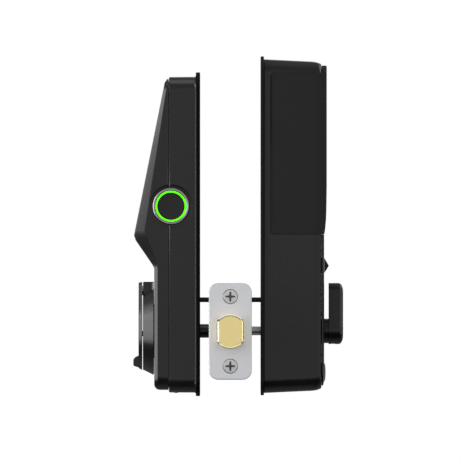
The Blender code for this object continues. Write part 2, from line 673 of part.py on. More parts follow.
def battery_cover():
    """Front panel whose foot thins down to the fascia, with a wing along each side of the housing."""
    low, high = COVER_SPLIT_Z + 0.2, 157.6
    side_view = [(PANEL_BACK, low), (FASCIA_FRONT, low), (56.3, 61.0), (56.75, 66.0), (57.05, 76.0),
                 (COVER_PANEL_FRONT, 86.0), (COVER_PANEL_FRONT, high - 0.7), (56.6, high), (PANEL_BACK, high)]
    cover = part("battery_cover", slab([side_view], "y", -36.0, 36.0), "casing")
    face = rounded_rect(-36.0, 36.0, low - 1, high + 0.1, (0, 0, 8.0, 8.0))
    boolean(cover, [slab([face], "x", PANEL_BACK - 1, COVER_PANEL_FRONT + 1)], "INTERSECT")
    wing_back, wing_top = 24.0, 152.9
    for side in (-1, 1):
        wing = [(wing_back, 36.5), (PANEL_BACK, 36.5), (PANEL_BACK, 34.0), (55.4, 34.0), (55.4, 36.2), (54.2, 36.9),
                (52.9, 37.3), (51.0, 37.7), (48.5, 37.9), (wing_back, 37.9)]
        join(cover, slab([[(x, side * y) for x, y in wing]], "z", low, wing_top))
    corner = 2.1
    profile = arc((wing_back + corner, low + corner), corner, 180, 270, 4)
    profile += [(60.0, low), (60.0, high + 1), (PANEL_BACK - 1, high + 1), (PANEL_BACK - 1, wing_top)]
    profile += arc((wing_back + corner, wing_top - corner), corner, 90, 180, 4)
    boolean(cover, [slab([profile], "y", -40.0, 40.0)], "INTERSECT")


def cover_release_latch():
    ridge = [(53.5, 43.5), (FASCIA_FRONT, 43.5), (58.5, 39.0), (56.4, 35.2), (FASCIA_FRONT, 34.3), (53.5, 34.3)]
    latch = part("cover_release_latch", slab([ridge], "y", -7.0, 7.0), "casing", (54.0, 0, 39.0))
    join(latch, block((52.0, -9.0, 31.0), (INT_FRONT, 9.0, 46.0)))


def push_button():
    dome = [(0, 46.5), (2.6, 46.5), (2.6, 52.6), (BUTTON_RADIUS, 52.6), (BUTTON_RADIUS, 55.9), (5.2, 56.05)]
    crown, steps = 56.77, 5
    for i in range(1, steps + 1):
        angle = math.radians(90 * i / steps)
        dome.append((5.2 * math.cos(angle), 56.05 + (crown - 56.05) * math.sin(angle)))
    dome[-1] = (0, crown)
    button = part("push_button", turned(dome, "x", (0, BUTTON_Z)), "casing", (54.0, 0, BUTTON_Z))
    button.data.shade_smooth()
    button.data.set_sharp_from_angle(angle=math.radians(30))


# ---------------------------------------------------------------- interior mechanism

def battery_compartment():
    tray = part("battery_tray", block((31.8, -32.6, 67.5), (51.0, 32.6, 130.5)), "plastic")
    cut(tray, block((33.8, -30.9, 69.3), (52.0, 30.9, 128.7)))
    for i in range(4):
        y = (i - 1.5) * CELL_PITCH
        low, high = CELL_BOTTOM, CELL_TOP
        body = (low, high - 1.2) if i % 2 else (low + 1.2, high)
        button = (high - 1.4, high) if i % 2 else (low, low + 1.4)
        cell = part(f"battery_cell_{i + 1}", rod("z", (41.5, y), CELL_RADIUS, *body, steps=28), "cell")
        join(cell, rod("z", (41.5, y), 2.7, *button, steps=20))
    for name, plate, stud in (("contact_strip_lower", (69.6, 70.2), (70.0, CELL_BOTTOM - GAP)),
                              ("contact_strip_upper", (127.8, 128.4), (CELL_TOP + GAP, 128.0))):
        strip = part(name, block((36.0, -29.5, plate[0]), (47.0, 29.5, plate[1])), "steel")
        join(strip, *[rod("z", (41.5, (i - 1.5) * CELL_PITCH), 2.4, *stud, steps=16) for i in range(4)])


def circuit_boards():
    board = part("interior_board", block((26.0, -31, 50), (27.6, 31, 150)), "board")
    join(board, block((23.0, -4, 56), (26.2, 4, 61)), block((27.4, -14, 134), (29.6, 6, 146)))
    switch = part("switch_board", block((43.5, -9, -32.0), (45.1, 9, -18.0)), "board")
    join(switch, rod("x", (0, BUTTON_Z), 1.8, 44.9, 45.3, steps=16))


def gear_motor():
    centre = (IDLER_Y, PINION_Z)
    motor = part("gear_motor", block((30, IDLER_Y - 5, PINION_Z - 6), (39, IDLER_Y + 5, PINION_Z + 6)), "steel")
    join(motor, rod("x", centre, 4.9, 23.5, 30.2, steps=28))
    join(motor, rod("x", centre, 1.5, 38.8, 46.0, steps=16))


def gear_train():
    idler_centre = (IDLER_Y, IDLER_Z)
    bearing = math.atan2(IDLER_Z, IDLER_Y) / (2 * math.pi)
    idler_phase = 0.5 + (bearing + 0.5) * IDLER_TEETH + bearing * DRIVE_TEETH
    idler = slab([gear_outline(idler_centre, IDLER_TEETH, idler_phase), circle(idler_centre, 2.3, 20)],
                 "x", GEAR_BACK, GEAR_FRONT)
    part("intermediate_gear", idler, "acetal", (GEAR_BACK, *idler_centre))
    pinion_phase = 0.5 - 0.25 * PINION_TEETH + (0.25 * IDLER_TEETH - idler_phase)
    pinion_centre = (IDLER_Y, PINION_Z)
    pinion = slab([gear_outline(pinion_centre, PINION_TEETH, pinion_phase), circle(pinion_centre, 1.8, 16)],
                  "x", GEAR_BACK, GEAR_FRONT)
    part("motor_pinion", pinion, "brass", (GEAR_BACK, *pinion_centre))
    part("intermediate_axle", rod("x", idler_centre, 2.0, 39.0, 51.1, steps=20), "steel")
    bushing = slab([circle((0, 0), 9.5, 32), circle((0, 0), 5.3, 32)], "x", 46.0, 51.1)
    part("thumbturn_bushing", bushing, "acetal")


def connecting_cable():
    """Cable between the two boards, over the bolt case and through the bore."""
    bend, level = 5.0, 18.5
    left, right = -26.3, 24.3
    first = [(x, 0, z) for x, z in arc((left + bend, level + bend), bend, 180, 270, 6)]
    last = [(x, 0, z) for x, z in arc((right - bend, level + bend), bend, 270, 360, 6)]
    part("connecting_cable", swept_tube([(left, 0, 35.7), *first, *last, (right, 0, 55.7)], 1.5), "rubber")


# ---------------------------------------------------------------- assembly

for leftover in list(bpy.data.objects):
    bpy.data.objects.remove(leftover, do_unlink=True)
PARTS = bpy.data.collections.new("keypad_smart_lock")
CUTTERS = bpy.data.collections.new("cutters")
bpy.context.scene.collection.children.link(PARTS)
bpy.context.scene.collection.children.link(CUTTERS)

turn_axis = axis_empty("thumbturn_axis", (0, 0, 0))
throw_axis = axis_empty("bolt_axis", (0, -BACKSET, 0))

exterior_gasket()
exterior_rear_housing()
exterior_front_shell()
keypad()
exterior_main_board()
fingerprint_sensor()
emergency_contacts()
cylinder_guard()
key_cylinder()
key_cover()
tailpiece(turn_axis)
cam_hub(turn_axis)
thumbturn(turn_axis)
faceplate_and_back()
faceplate_screws()
bolt(throw_axis)
bolt_tail(throw_axis)
bolt_housing()
through_bolts()
interior_gasket_and_plate()
interior_housing()
front_fascia()
battery_cover()
cover_release_latch()
push_button()
battery_compartment()
circuit_boards()
gear_motor()
gear_train()
connecting_cable()
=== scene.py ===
"""Looks of the keypad smart lock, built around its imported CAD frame.

Dimensions are millimetres in the CAD frame: +X points into the room, -Y at the door's free edge, +Z up.
"""

import json
import math

import bmesh
import bpy
from mathutils import Matrix, Vector

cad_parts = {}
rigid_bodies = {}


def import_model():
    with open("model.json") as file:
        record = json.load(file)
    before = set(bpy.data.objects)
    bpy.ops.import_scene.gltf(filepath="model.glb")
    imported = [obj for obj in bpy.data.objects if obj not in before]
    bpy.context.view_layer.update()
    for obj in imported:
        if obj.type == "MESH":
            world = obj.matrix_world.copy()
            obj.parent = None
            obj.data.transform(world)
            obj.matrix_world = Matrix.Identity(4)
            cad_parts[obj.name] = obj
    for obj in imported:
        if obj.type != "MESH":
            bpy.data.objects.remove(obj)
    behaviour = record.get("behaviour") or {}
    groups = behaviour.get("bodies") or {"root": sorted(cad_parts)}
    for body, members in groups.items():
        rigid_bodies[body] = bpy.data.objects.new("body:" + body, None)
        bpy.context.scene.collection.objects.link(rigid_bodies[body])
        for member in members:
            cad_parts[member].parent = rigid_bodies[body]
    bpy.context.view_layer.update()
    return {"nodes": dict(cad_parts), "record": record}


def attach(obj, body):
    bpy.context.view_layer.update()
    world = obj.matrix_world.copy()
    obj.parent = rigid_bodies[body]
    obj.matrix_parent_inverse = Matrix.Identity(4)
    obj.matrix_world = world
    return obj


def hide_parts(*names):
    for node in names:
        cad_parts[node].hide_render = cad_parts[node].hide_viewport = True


MM = 0.001

# Exterior unit
EXT_BACK = -20.5
EXT_SEAM = -36.6
SEAM_HALF = 0.18
EXT_HALF_WIDTH = 36.0
EXT_TOP = 150.8
EXT_BOTTOM = -36.4
EXT_CORNER = 8.0
SHELL_TOP = 149.6
SHELL_BOTTOM = -34.9
SHELL_WALL = 2.6
EXT_GASKET_HALF_WIDTH = 38.5
EXT_GASKET_BOTTOM = -38.6
EXT_GASKET_TOP = 153.6
EXT_GASKET_CORNER = 10.0
POST_Y = 19.0
POST_RADIUS = 4.0
POST_HOLE_RADIUS = 2.35
GLASS_WIDTH = 60.0
GLASS_HEIGHT = 80.0
GLASS_CORNER = 6.0
LOWER_FACE = -45.15
APEX = (-57.1, 57.2)
UNDERCUT = ((LOWER_FACE, 37.2), (-46.3, 39.5), (-52.0, 47.8), (-56.0, 53.6), (-57.05, 56.3))
SLOPE_TOP = (-39.2, 146.2)
FRONT_EDGE_RADIUS = 3.4
SENSOR = (-35.2, 74.1)
SENSOR_HOLE_RADIUS = 11.1
SENSOR_BOWL_RADIUS = 13.1
BORE_RADIUS = 25.0

# Key cylinder and its swinging cover
CYLINDER_RADIUS = 16.0
CYLINDER_FRONT = -51.2
PLUG_RADIUS = 6.5
GUARD_FRONT = -51.95
GUARD_FOOT = -45.45
GUARD_RADIUS = 23.3
GUARD_FOOT_RADIUS = 26.3
TAB_HALF = 8.0
TAB_TOP = 29.2
COVER_FRONT = -54.55
COVER_BACK = -52.45
COVER_RADIUS = 23.3
PIVOT_Z = 24.0
PIVOT_RADIUS = 1.8
BUMPER = (-19.5, -1.5)

# Deadbolt
FACEPLATE_FRONT = -60.0
FACEPLATE_HALF_WIDTH = 12.7
FACEPLATE_HALF_HEIGHT = 28.6
FACEPLATE_CORNER = 5.6
BOLT_FRONT = -85.4
BOLT_BACK = -52.0
BOLT_RADIUS = 9.65
BOLT_HALF = 7.6
SCREW_Z = 20.6

# Interior unit
DOOR_HALF = 18.0
INT_BACK = 20.0
INT_HALF_WIDTH = 38.0
INT_TOP = 161.3
INT_BOTTOM = -36.7
INT_CORNER = 8.0
INT_GASKET_HALF_WIDTH = 40.0
INT_GASKET_BOTTOM = -38.1
INT_GASKET_TOP = 163.1
INT_GASKET_CORNER = 9.0
PANEL_HALF_WIDTH = 36.0
PANEL_BOTTOM = -32.4
PANEL_TOP = 157.6
INT_FRONT = 54.0
FRONT_WALL_BACK = 51.4
PANEL_BACK = 54.3
FASCIA_FRONT = 55.7
COVER_PANEL_FRONT = 57.2
COVER_SPLIT_Z = 57.5
BUTTON_Z = -24.5
BUTTON_RADIUS = 5.65
NECK_RADIUS = 7.3
LEVER_BACK = 58.45
LEVER_TIP = (0.0, 23.5)
LEVER_HUB_RADIUS = 7.9
LEVER_TIP_RADIUS = 5.0

# Rounding of the CAD nodes that are carried over as they are
CARRIED_EDGE = 0.2

# Studio, in metres
CAMERA_DISTANCE = 11.0
VIEW_WIDTH = 0.2728
VIEW_HEIGHT = 0.060
FLOOR_Z = -0.25
FLOOR_RADIUS = 1.3

# Local axes of an outline drawn in two dimensions and raised along a world axis
RAISE = {
    "x": Matrix(((0, 0, 1, 0), (1, 0, 0, 0), (0, 1, 0, 0), (0, 0, 0, 1))),
    "y": Matrix(((1, 0, 0, 0), (0, 0, -1, 0), (0, 1, 0, 0), (0, 0, 0, 1))),
    "z": Matrix.Identity(4),
}


# ---------------------------------------------------------------- outlines

def arc(centre, radius, start, end, steps):
    """Points of an arc, angles in degrees."""
    points = []
    for i in range(steps + 1):
        angle = math.radians(start + (end - start) * i / steps)
        points.append((centre[0] + radius * math.cos(angle), centre[1] + radius * math.sin(angle)))
    return points


def circle(centre, radius, steps=64):
    """Points of a full circle."""
    return arc(centre, radius, 0, 360, steps)[:-1]


def rounded_rect(left, right, low, high, radii, steps=10):
    """Rectangle with rounded corners; radii in the order low left, low right, high right, high left."""
    if not isinstance(radii, tuple):
        radii = (radii,) * 4
    corners = ((left, low, 1, 1, 180), (right, low, -1, 1, 270), (right, high, -1, -1, 0),
               (left, high, 1, -1, 90))
    points = []
    for (u, v, su, sv, start), radius in zip(corners, radii):
        if radius == 0:
            points.append((u, v))
        else:
            points += arc((u + su * radius, v + sv * radius), radius, start, start + 90, steps)
    return points


def capsule(first, second, radius_first, radius_second, steps=24):
    """Two round ends joined by their outer tangents."""
    du, dv = second[0] - first[0], second[1] - first[1]
    heading = math.degrees(math.atan2(dv, du))
    lean = math.degrees(math.acos((radius_first - radius_second) / math.hypot(du, dv)))
    near = arc(first, radius_first, heading + lean, heading + 360 - lean, steps)
    far = arc(second, radius_second, heading - lean, heading + lean, steps)
    return near + far


def bolt_outline(radius, half_width, steps=20):
    """Round bar with flats on both sides."""
    side = math.degrees(math.acos(half_width / radius))
    return arc((0, 0), radius, side, 180 - side, steps) + arc((0, 0), radius, 180 + side, 360 - side, steps)


def softened(points, radii, steps=3):
    """Closed outline with its corners rounded; one radius for each corner, 0 leaves it sharp."""
    result = []
    count = len(points)
    for i, radius in enumerate(radii):
        corner = Vector(points[i])
        before = (Vector(points[i - 1]) - corner)
        after = (Vector(points[(i + 1) % count]) - corner)
        reach = min(radius, 0.45 * before.length, 0.45 * after.length)
        start, end = corner + before.normalized() * reach, corner + after.normalized() * reach
        for k in range(steps + 1):
            t = k / steps
            result.append(tuple(start * (1 - t) ** 2 + corner * 2 * t * (1 - t) + end * t ** 2))
    return result


# ---------------------------------------------------------------- meshes

def to_mesh(bm):
    """Mesh of a BMesh, merged and facing outwards; the BMesh is freed."""
    bmesh.ops.remove_doubles(bm, verts=bm.verts, dist=1e-6)
    bmesh.ops.recalc_face_normals(bm, faces=bm.faces)
    mesh = bpy.data.meshes.new("solid")
    bm.to_mesh(mesh)
    bm.free()
    return mesh


def evaluated(temporary):
    """Mesh of a temporary object with its modifiers; the object is removed."""
    depsgraph = bpy.context.evaluated_depsgraph_get()
    raw = bpy.data.meshes.new_from_object(temporary.evaluated_get(depsgraph))
    bpy.data.objects.remove(temporary, do_unlink=True)
    bm = bmesh.new()
    bm.from_mesh(raw)
    bpy.data.meshes.remove(raw)
    return to_mesh(bm)


def temporary_object(data):
    """Object that only lives while its modifiers are worked out."""
    thing = bpy.data.objects.new("temporary", data)
    bpy.context.scene.collection.objects.link(thing)
    return thing


def combined(mesh, tools, operation):
    """Exact Boolean of a mesh with others."""
    base = temporary_object(mesh)
    helpers = [temporary_object(tool) for tool in tools]
    for helper in helpers:
        modifier = base.modifiers.new("boolean", "BOOLEAN")
        modifier.operation = operation
        modifier.object = helper
        modifier.solver = "EXACT"
    result = evaluated(base)
    for helper in helpers:
        bpy.data.objects.remove(helper, do_unlink=True)
    return result


def cut(mesh, *tools):
    """Mesh less the tools."""
    return combined(mesh, tools, "DIFFERENCE")


def joined(mesh, *tools):
    """Mesh joined with the tools."""
    return combined(mesh, tools, "UNION")


def slab(outlines, axis, start, end, matrix=None):
    """Flat outlines, the later ones being holes, raised from start to end along an axis."""
    curve = bpy.data.curves.new("outline", "CURVE")
    curve.dimensions = "2D"
    curve.fill_mode = "BOTH"
    curve.extrude = abs(end - start) / 2 * MM
    for outline in outlines:
        spline = curve.splines.new("POLY")
        spline.points.add(len(outline) - 1)
        for point, (u, v) in zip(spline.points, outline):
            point.co = (u * MM, v * MM, 0, 1)
        spline.use_cyclic_u = True
    mesh = evaluated(temporary_object(curve))
    middle = (start + end) / 2 * MM
    along = -middle if axis == "y" else middle
    mesh.transform((matrix or RAISE[axis]) @ Matrix.Translation((0, 0, along)))
    return mesh


def block(low, high):
    """Box between two corners."""
    centre = [(a + b) / 2 * MM for a, b in zip(low, high)]
    size = [(b - a) * MM for a, b in zip(low, high)]
    bm = bmesh.new()
    bmesh.ops.create_cube(bm, size=1, matrix=Matrix.Translation(centre) @ Matrix.Diagonal((*size, 1)))
    return to_mesh(bm)


def rod(axis, centre, radius, start, end, steps=64):
    return slab([circle(centre, radius, steps)], axis, start, end)


def turned(profile, axis, centre, steps=96):
    """Closed turned shape; the profile lists (radius, height), and a ring's profile closes on itself."""
    bm = bmesh.new()
    verts = [bm.verts.new((radius * MM, 0, height * MM)) for radius, height in profile]
    for first, second in zip(verts, verts[1:]):
        bm.edges.new((first, second))
    if profile[0][0] > 0:
        bm.edges.new((verts[-1], verts[0]))
    mesh = bpy.data.meshes.new("profile")
    bm.to_mesh(mesh)
    bm.free()
    temporary = temporary_object(mesh)
    screw = temporary.modifiers.new("turn", "SCREW")
    screw.axis = "Z"
    screw.steps = steps
    screw.render_steps = steps
    screw.use_merge_vertices = True
    screw.merge_threshold = 0.000001
    result = evaluated(temporary)
    matrix = RAISE[axis] @ Matrix.Translation((centre[0] * MM, centre[1] * MM, 0))
    if axis == "y":
        matrix = matrix @ Matrix.Diagonal((1, 1, -1, 1))
    result.transform(matrix)
    if axis == "y":
        result.flip_normals()
    return result


def loft(sections):
    """Skin through closed sections with equal numbers of points, in world millimetres."""
    bm = bmesh.new()
    rings = [[bm.verts.new([value * MM for value in point]) for point in section] for section in sections]
    for lower, upper in zip(rings, rings[1:]):
        for i in range(len(lower)):
            j = (i + 1) % len(lower)
            bm.faces.new((lower[i], lower[j], upper[j], upper[i]))
    bm.faces.new(rings[0])
    bm.faces.new(rings[-1])
    return to_mesh(bm)


def rimmed(profile, outline_at):
    """Loft along X: the profile lists (x, inset) and outline_at(inset) gives the YZ outline."""
    return loft([[(x, y, z) for y, z in outline_at(inset)] for x, inset in profile])


# ---------------------------------------------------------------- node materials

def node(tree, kind, values=None, **settings):
    """Shader node with its settings; a socket given as a value is linked, anything else is set."""
    made = tree.nodes.new("ShaderNode" + kind)
    for key, value in settings.items():
        setattr(made, key, value)
    for key, value in (values or {}).items():
        if isinstance(value, bpy.types.NodeSocket):
            tree.links.new(value, made.inputs[key])
        else:
            made.inputs[key].default_value = value
    return made


def ramp(tree, factor, stops):
    """Colour ramp through (position, colour) stops."""
    made = node(tree, "ValToRGB", {"Fac": factor})
    elements = made.color_ramp.elements
    elements[0].position, elements[1].position = stops[0][0], stops[-1][0]
    elements[0].color, elements[1].color = (*stops[0][1], 1), (*stops[-1][1], 1)
    for position, colour in stops[1:-1]:
        elements.new(position).color = (*colour, 1)
    return made.outputs["Color"]


def spread(tree, factor, low, high):
    """Factor from 0.3..0.7 noise spread over low..high."""
    made = node(tree, "MapRange",
                {"Value": factor, "From Min": 0.3, "From Max": 0.7, "To Min": low, "To Max": high})
    return made.outputs["Result"]


def noise(tree, vector, scale, detail=3.0):
    made = node(tree, "TexNoise", {"Vector": vector, "Scale": scale, "Detail": detail, "Roughness": 0.55})
    return made.outputs["Fac"]


def mixed(tree, factor, first, second):
    made = node(tree, "Mix", data_type="RGBA")
    for index, value in ((0, factor), (6, first), (7, second)):
        if isinstance(value, bpy.types.NodeSocket):
            tree.links.new(value, made.inputs[index])
        else:
            made.inputs[index].default_value = value if index == 0 else (*value, 1)
    return made.outputs[2]


def blank(name):
    """Material with an empty Principled shader, its tree, shader and object coordinates."""
    material = bpy.data.materials.new(name)
    material.use_nodes = True
    tree = material.node_tree
    shader = tree.nodes["Principled BSDF"]
    place = node(tree, "TexCoord").outputs["Object"]
    return material, tree, shader, place


def finish(name, dark, light, roughness, metallic=0.0, specular=0.5, grain=2500.0, bump=0.15, depth=0.00002,
           stretch=(1, 1, 1), patch=25.0, edge=0.0, edge_colour=(0.2, 0.2, 0.2)):
    """Surface with patchy colour and roughness, a grain in its bump and paler edges that are a painted
    highlight.
    """
    material, tree, shader, place = blank(name)
    stretched = node(tree, "Mapping", {"Vector": place, "Scale": stretch}).outputs["Vector"]
    patches = noise(tree, place, patch, 4.0)
    fine = noise(tree, stretched, grain, 2.0)
    blend = node(tree, "Math", {0: patches, 1: fine}, operation="MULTIPLY_ADD")
    blend.inputs[1].default_value = 0.6
    tree.links.new(node(tree, "Math", {0: fine, 1: 0.4}, operation="MULTIPLY").outputs[0], blend.inputs[2])
    colour = ramp(tree, spread(tree, blend.outputs[0], 0.0, 1.0), ((0.0, dark), (1.0, light)))
    # painted highlight: edges turn paler where the rounded normal leans away from the flat one, broken up by
    # noise
    if edge:
        rounded = node(tree, "Bevel", {"Radius": edge}, samples=4).outputs["Normal"]
        flat = node(tree, "NewGeometry").outputs["Normal"]
        lean = node(tree, "VectorMath", {0: rounded, 1: flat}, operation="DOT_PRODUCT").outputs["Value"]
        painted_edge_highlight = node(tree, "MapRange", {"Value": lean, "From Min": 0.995, "From Max": 0.9}).outputs["Result"]
        breakup = node(tree, "Math", {0: painted_edge_highlight, 1: spread(tree, noise(tree, place, 180.0), 0.0, 1.0)},
                       operation="MULTIPLY").outputs[0]
        colour = mixed(tree, breakup, colour, edge_colour)
    tree.links.new(colour, shader.inputs["Base Color"])
    tree.links.new(spread(tree, blend.outputs[0], roughness[0], roughness[1]), shader.inputs["Roughness"])
    shader.inputs["Metallic"].default_value = metallic
    shader.inputs["Specular IOR Level"].default_value = specular
    relief = node(tree, "Bump", {"Height": fine, "Strength": bump, "Distance": depth})
    tree.links.new(relief.outputs["Normal"], shader.inputs["Normal"])
    return material


def turned_metal(name, axis, centre, dark, light, roughness):
    """Metal with fine concentric tool marks about an axis; the object's own coordinates are in metres."""
    material, tree, shader, place = blank(name)
    moved = node(tree, "VectorMath", {0: place, 1: [-value * MM for value in centre]},
                 operation="ADD").outputs[0]
    axis_flat = {"x": (0, 1, 1), "y": (1, 0, 1), "z": (1, 1, 0)}[axis]
    flattened = node(tree, "VectorMath", {0: moved, 1: axis_flat}, operation="MULTIPLY").outputs[0]
    radius = node(tree, "VectorMath", {0: flattened}, operation="LENGTH").outputs["Value"]
    rings = node(tree, "TexNoise", {"W": radius, "Scale": 9000.0, "Detail": 2.0},
                 noise_dimensions="1D").outputs["Fac"]
    patches = noise(tree, place, 60.0)
    colour = ramp(tree, spread(tree, rings, 0.0, 1.0), ((0.0, dark), (1.0, light)))
    tree.links.new(colour, shader.inputs["Base Color"])
    tree.links.new(spread(tree, patches, roughness[0], roughness[1]), shader.inputs["Roughness"])
    shader.inputs["Metallic"].default_value = 1.0
    relief = node(tree, "Bump", {"Height": rings, "Strength": 0.12, "Distance": 0.00001})
    tree.links.new(relief.outputs["Normal"], shader.inputs["Normal"])
    return material


def board_look(name):
    """Green solder mask with copper tracks and pads showing through."""
    material, tree, shader, place = blank(name)
    turned_place = node(tree, "Mapping", {"Vector": place, "Rotation": (0.0, 1.5708, 0.0)}).outputs["Vector"]
    tracks = node(tree, "TexBrick",
                  {"Vector": turned_place, "Scale": 130.0, "Mortar Size": 0.035, "Bias": 0.0,
                   "Brick Width": 0.9, "Row Height": 0.33}).outputs["Fac"]
    pads = node(tree, "TexVoronoi", {"Vector": place, "Scale": 380.0}).outputs["Distance"]
    pad_mask = node(tree, "Math", {0: pads, 1: 0.16}, operation="LESS_THAN").outputs[0]
    patches = noise(tree, place, 80.0)
    mask = ramp(tree, spread(tree, patches, 0.0, 1.0),
                ((0.0, (0.008, 0.07, 0.025)), (1.0, (0.015, 0.11, 0.04))))
    tracked = mixed(tree, tracks, mask, (0.03, 0.19, 0.07))
    colour = mixed(tree, pad_mask, tracked, (0.62, 0.55, 0.32))
    tree.links.new(colour, shader.inputs["Base Color"])
    tree.links.new(spread(tree, patches, 0.28, 0.42), shader.inputs["Roughness"])
    relief = node(tree, "Bump", {"Height": tracks, "Strength": 0.3, "Distance": 0.00003})
    tree.links.new(relief.outputs["Normal"], shader.inputs["Normal"])
    return material


def light_look(name, colour, strength):
    """Evenly lit ring with faint brighter spots over its lamps."""
    material, tree, shader, place = blank(name)
    patches = noise(tree, place, 140.0)
    lit = ramp(tree, spread(tree, patches, 0.0, 1.0),
               ((0.0, [0.93 * value for value in colour]), (1.0, colour)))
    tree.links.new(lit, shader.inputs["Base Color"])
    tree.links.new(lit, shader.inputs["Emission Color"])
    shader.inputs["Emission Strength"].default_value = strength
    shader.inputs["Specular IOR Level"].default_value = 0.2
    tree.links.new(spread(tree, noise(tree, place, 900.0), 0.35, 0.5), shader.inputs["Roughness"])
    return material


def glass_look(name):
    """Deep black touch glass with faint wiped smears."""
    material, tree, shader, place = blank(name)
    smears = noise(
        tree, node(tree, "Mapping", {"Vector": place, "Scale": (1.0, 1.0, 0.35)}).outputs["Vector"], 45.0, 5.0)
    dust = noise(tree, place, 1500.0)
    tree.links.new(ramp(tree, smears, ((0.2, (0.004, 0.004, 0.005)), (0.9, (0.010, 0.010, 0.011)))),
                   shader.inputs["Base Color"])
    rough = node(tree, "Math", {0: spread(tree, smears, 0.03, 0.11), 1: spread(tree, dust, 0.0, 0.02)},
                 operation="ADD")
    tree.links.new(rough.outputs[0], shader.inputs["Roughness"])
    shader.inputs["Specular IOR Level"].default_value = 0.25
    relief = node(tree, "Bump", {"Height": smears, "Strength": 0.02, "Distance": 0.0001})
    tree.links.new(relief.outputs["Normal"], shader.inputs["Normal"])
    return material


def cell_look(name):
    """Plain wrapped battery: dark sleeve with a warm grey band at its positive end."""
    material, tree, shader, place = blank(name)
    height = node(tree, "SeparateXYZ", {"Vector": place}).outputs["Z"]
    band = node(tree, "Math", {0: height, 1: 0.112}, operation="GREATER_THAN").outputs[0]
    fine = noise(tree, place, 700.0)
    sleeve = ramp(tree, spread(tree, fine, 0.0, 1.0),
                  ((0.0, (0.030, 0.034, 0.045)), (1.0, (0.045, 0.050, 0.062))))
    colour = mixed(tree, band, sleeve, (0.34, 0.30, 0.22))
    tree.links.new(colour, shader.inputs["Base Color"])
    tree.links.new(spread(tree, noise(tree, place, 120.0), 0.22, 0.34), shader.inputs["Roughness"])
    shader.inputs["Metallic"].default_value = 0.35
    relief = node(tree, "Bump", {"Height": noise(tree, place, 300.0), "Strength": 0.08, "Distance": 0.0001})
    tree.links.new(relief.outputs["Normal"], shader.inputs["Normal"])
    return material


def build_looks():
    """Material of every slot."""
    brushed = (1.0, 1.0, 0.06)
    looks = {
        "casing_paint": finish("casing_paint", (0.0065, 0.0065, 0.007), (0.0085, 0.0085, 0.009), (0.24, 0.30),
                               specular=0.38, grain=2600.0, bump=0.25, depth=0.00001),
        # exterior gasket: near-black colour and low specular, darker than the interior gasket rubber, are
        # painted shade from the door beside it
        "gasket_rubber": finish("gasket_rubber", (0.001, 0.001, 0.001), (0.0022, 0.0022, 0.0022),
                                (0.42, 0.52), specular=0.07, grain=1800.0, bump=0.4),
        "touch_glass": glass_look("touch_glass"),
        "diffuser": finish("diffuser", (0.62, 0.62, 0.59), (0.74, 0.74, 0.71), (0.5, 0.65), grain=900.0),
        "board": board_look("board"),
        "sensor_bezel": turned_metal("sensor_bezel", "y", (SENSOR[0], 0, SENSOR[1]),
                                     (0.33, 0.305, 0.32), (0.42, 0.395, 0.41), (0.30, 0.38)),
        "sensor_light": light_look("sensor_light", (0.102, 1.0, 0.007), 1.0),
        "sensor_pad": finish("sensor_pad", (0.0075, 0.0075, 0.0075), (0.011, 0.011, 0.011), (0.40, 0.52),
                             specular=0.36, grain=5200.0, bump=0.35),
        "cylinder_metal": turned_metal("cylinder_metal", "x", (0, 0, 0), (0.42, 0.42, 0.43),
                                       (0.56, 0.56, 0.57), (0.24, 0.34)),
        "plug_brass": turned_metal("plug_brass", "x", (0, 0, 0), (0.60, 0.47, 0.20), (0.74, 0.60, 0.28),
                                   (0.22, 0.32)),
        # steel carries the painted edge highlight in its paler edges
        "steel": finish("steel", (0.36, 0.36, 0.37), (0.50, 0.50, 0.51), (0.24, 0.38), metallic=1.0,
                        grain=500.0, bump=0.12, edge=0.0004, edge_colour=(0.72, 0.72, 0.73)),
        "faceplate_satin": finish("faceplate_satin", (0.80, 0.81, 0.84), (0.86, 0.87, 0.90), (0.34, 0.42),
                                  metallic=1.0, grain=2400.0, bump=0.10, stretch=brushed, patch=30.0),
        "bolt_brass": finish("bolt_brass", (0.84, 0.70, 0.32), (0.93, 0.78, 0.36), (0.20, 0.27), metallic=1.0,
                             grain=1500.0, bump=0.05, stretch=(0.05, 1.0, 1.0)),
        "fascia_gloss": finish("fascia_gloss", (0.004, 0.004, 0.004), (0.006, 0.006, 0.006), (0.10, 0.18),
                               specular=0.2, grain=900.0, bump=0.03, patch=40.0),
        "cover_plastic": finish("cover_plastic", (0.006, 0.006, 0.0065), (0.0095, 0.0095, 0.010),
                                (0.38, 0.46), specular=0.33, grain=3600.0, bump=0.45),
        "tray_plastic": finish("tray_plastic", (0.020, 0.020, 0.020), (0.030, 0.030, 0.030), (0.45, 0.58),
                               grain=1400.0, bump=0.3),
        "cell_wrap": cell_look("cell_wrap"),
        "contact_metal": finish("contact_metal", (0.56, 0.53, 0.46), (0.70, 0.67, 0.60), (0.20, 0.30),
                                metallic=1.0, grain=800.0, bump=0.1),
        "acetal": finish("acetal", (0.62, 0.61, 0.56), (0.72, 0.71, 0.66), (0.34, 0.46), grain=900.0,
                         bump=0.15),
        "cable_rubber": finish("cable_rubber", (0.012, 0.012, 0.012), (0.022, 0.022, 0.022), (0.45, 0.6),
                               grain=900.0, bump=0.2),
    }
    return looks


# ---------------------------------------------------------------- pieces on the frame

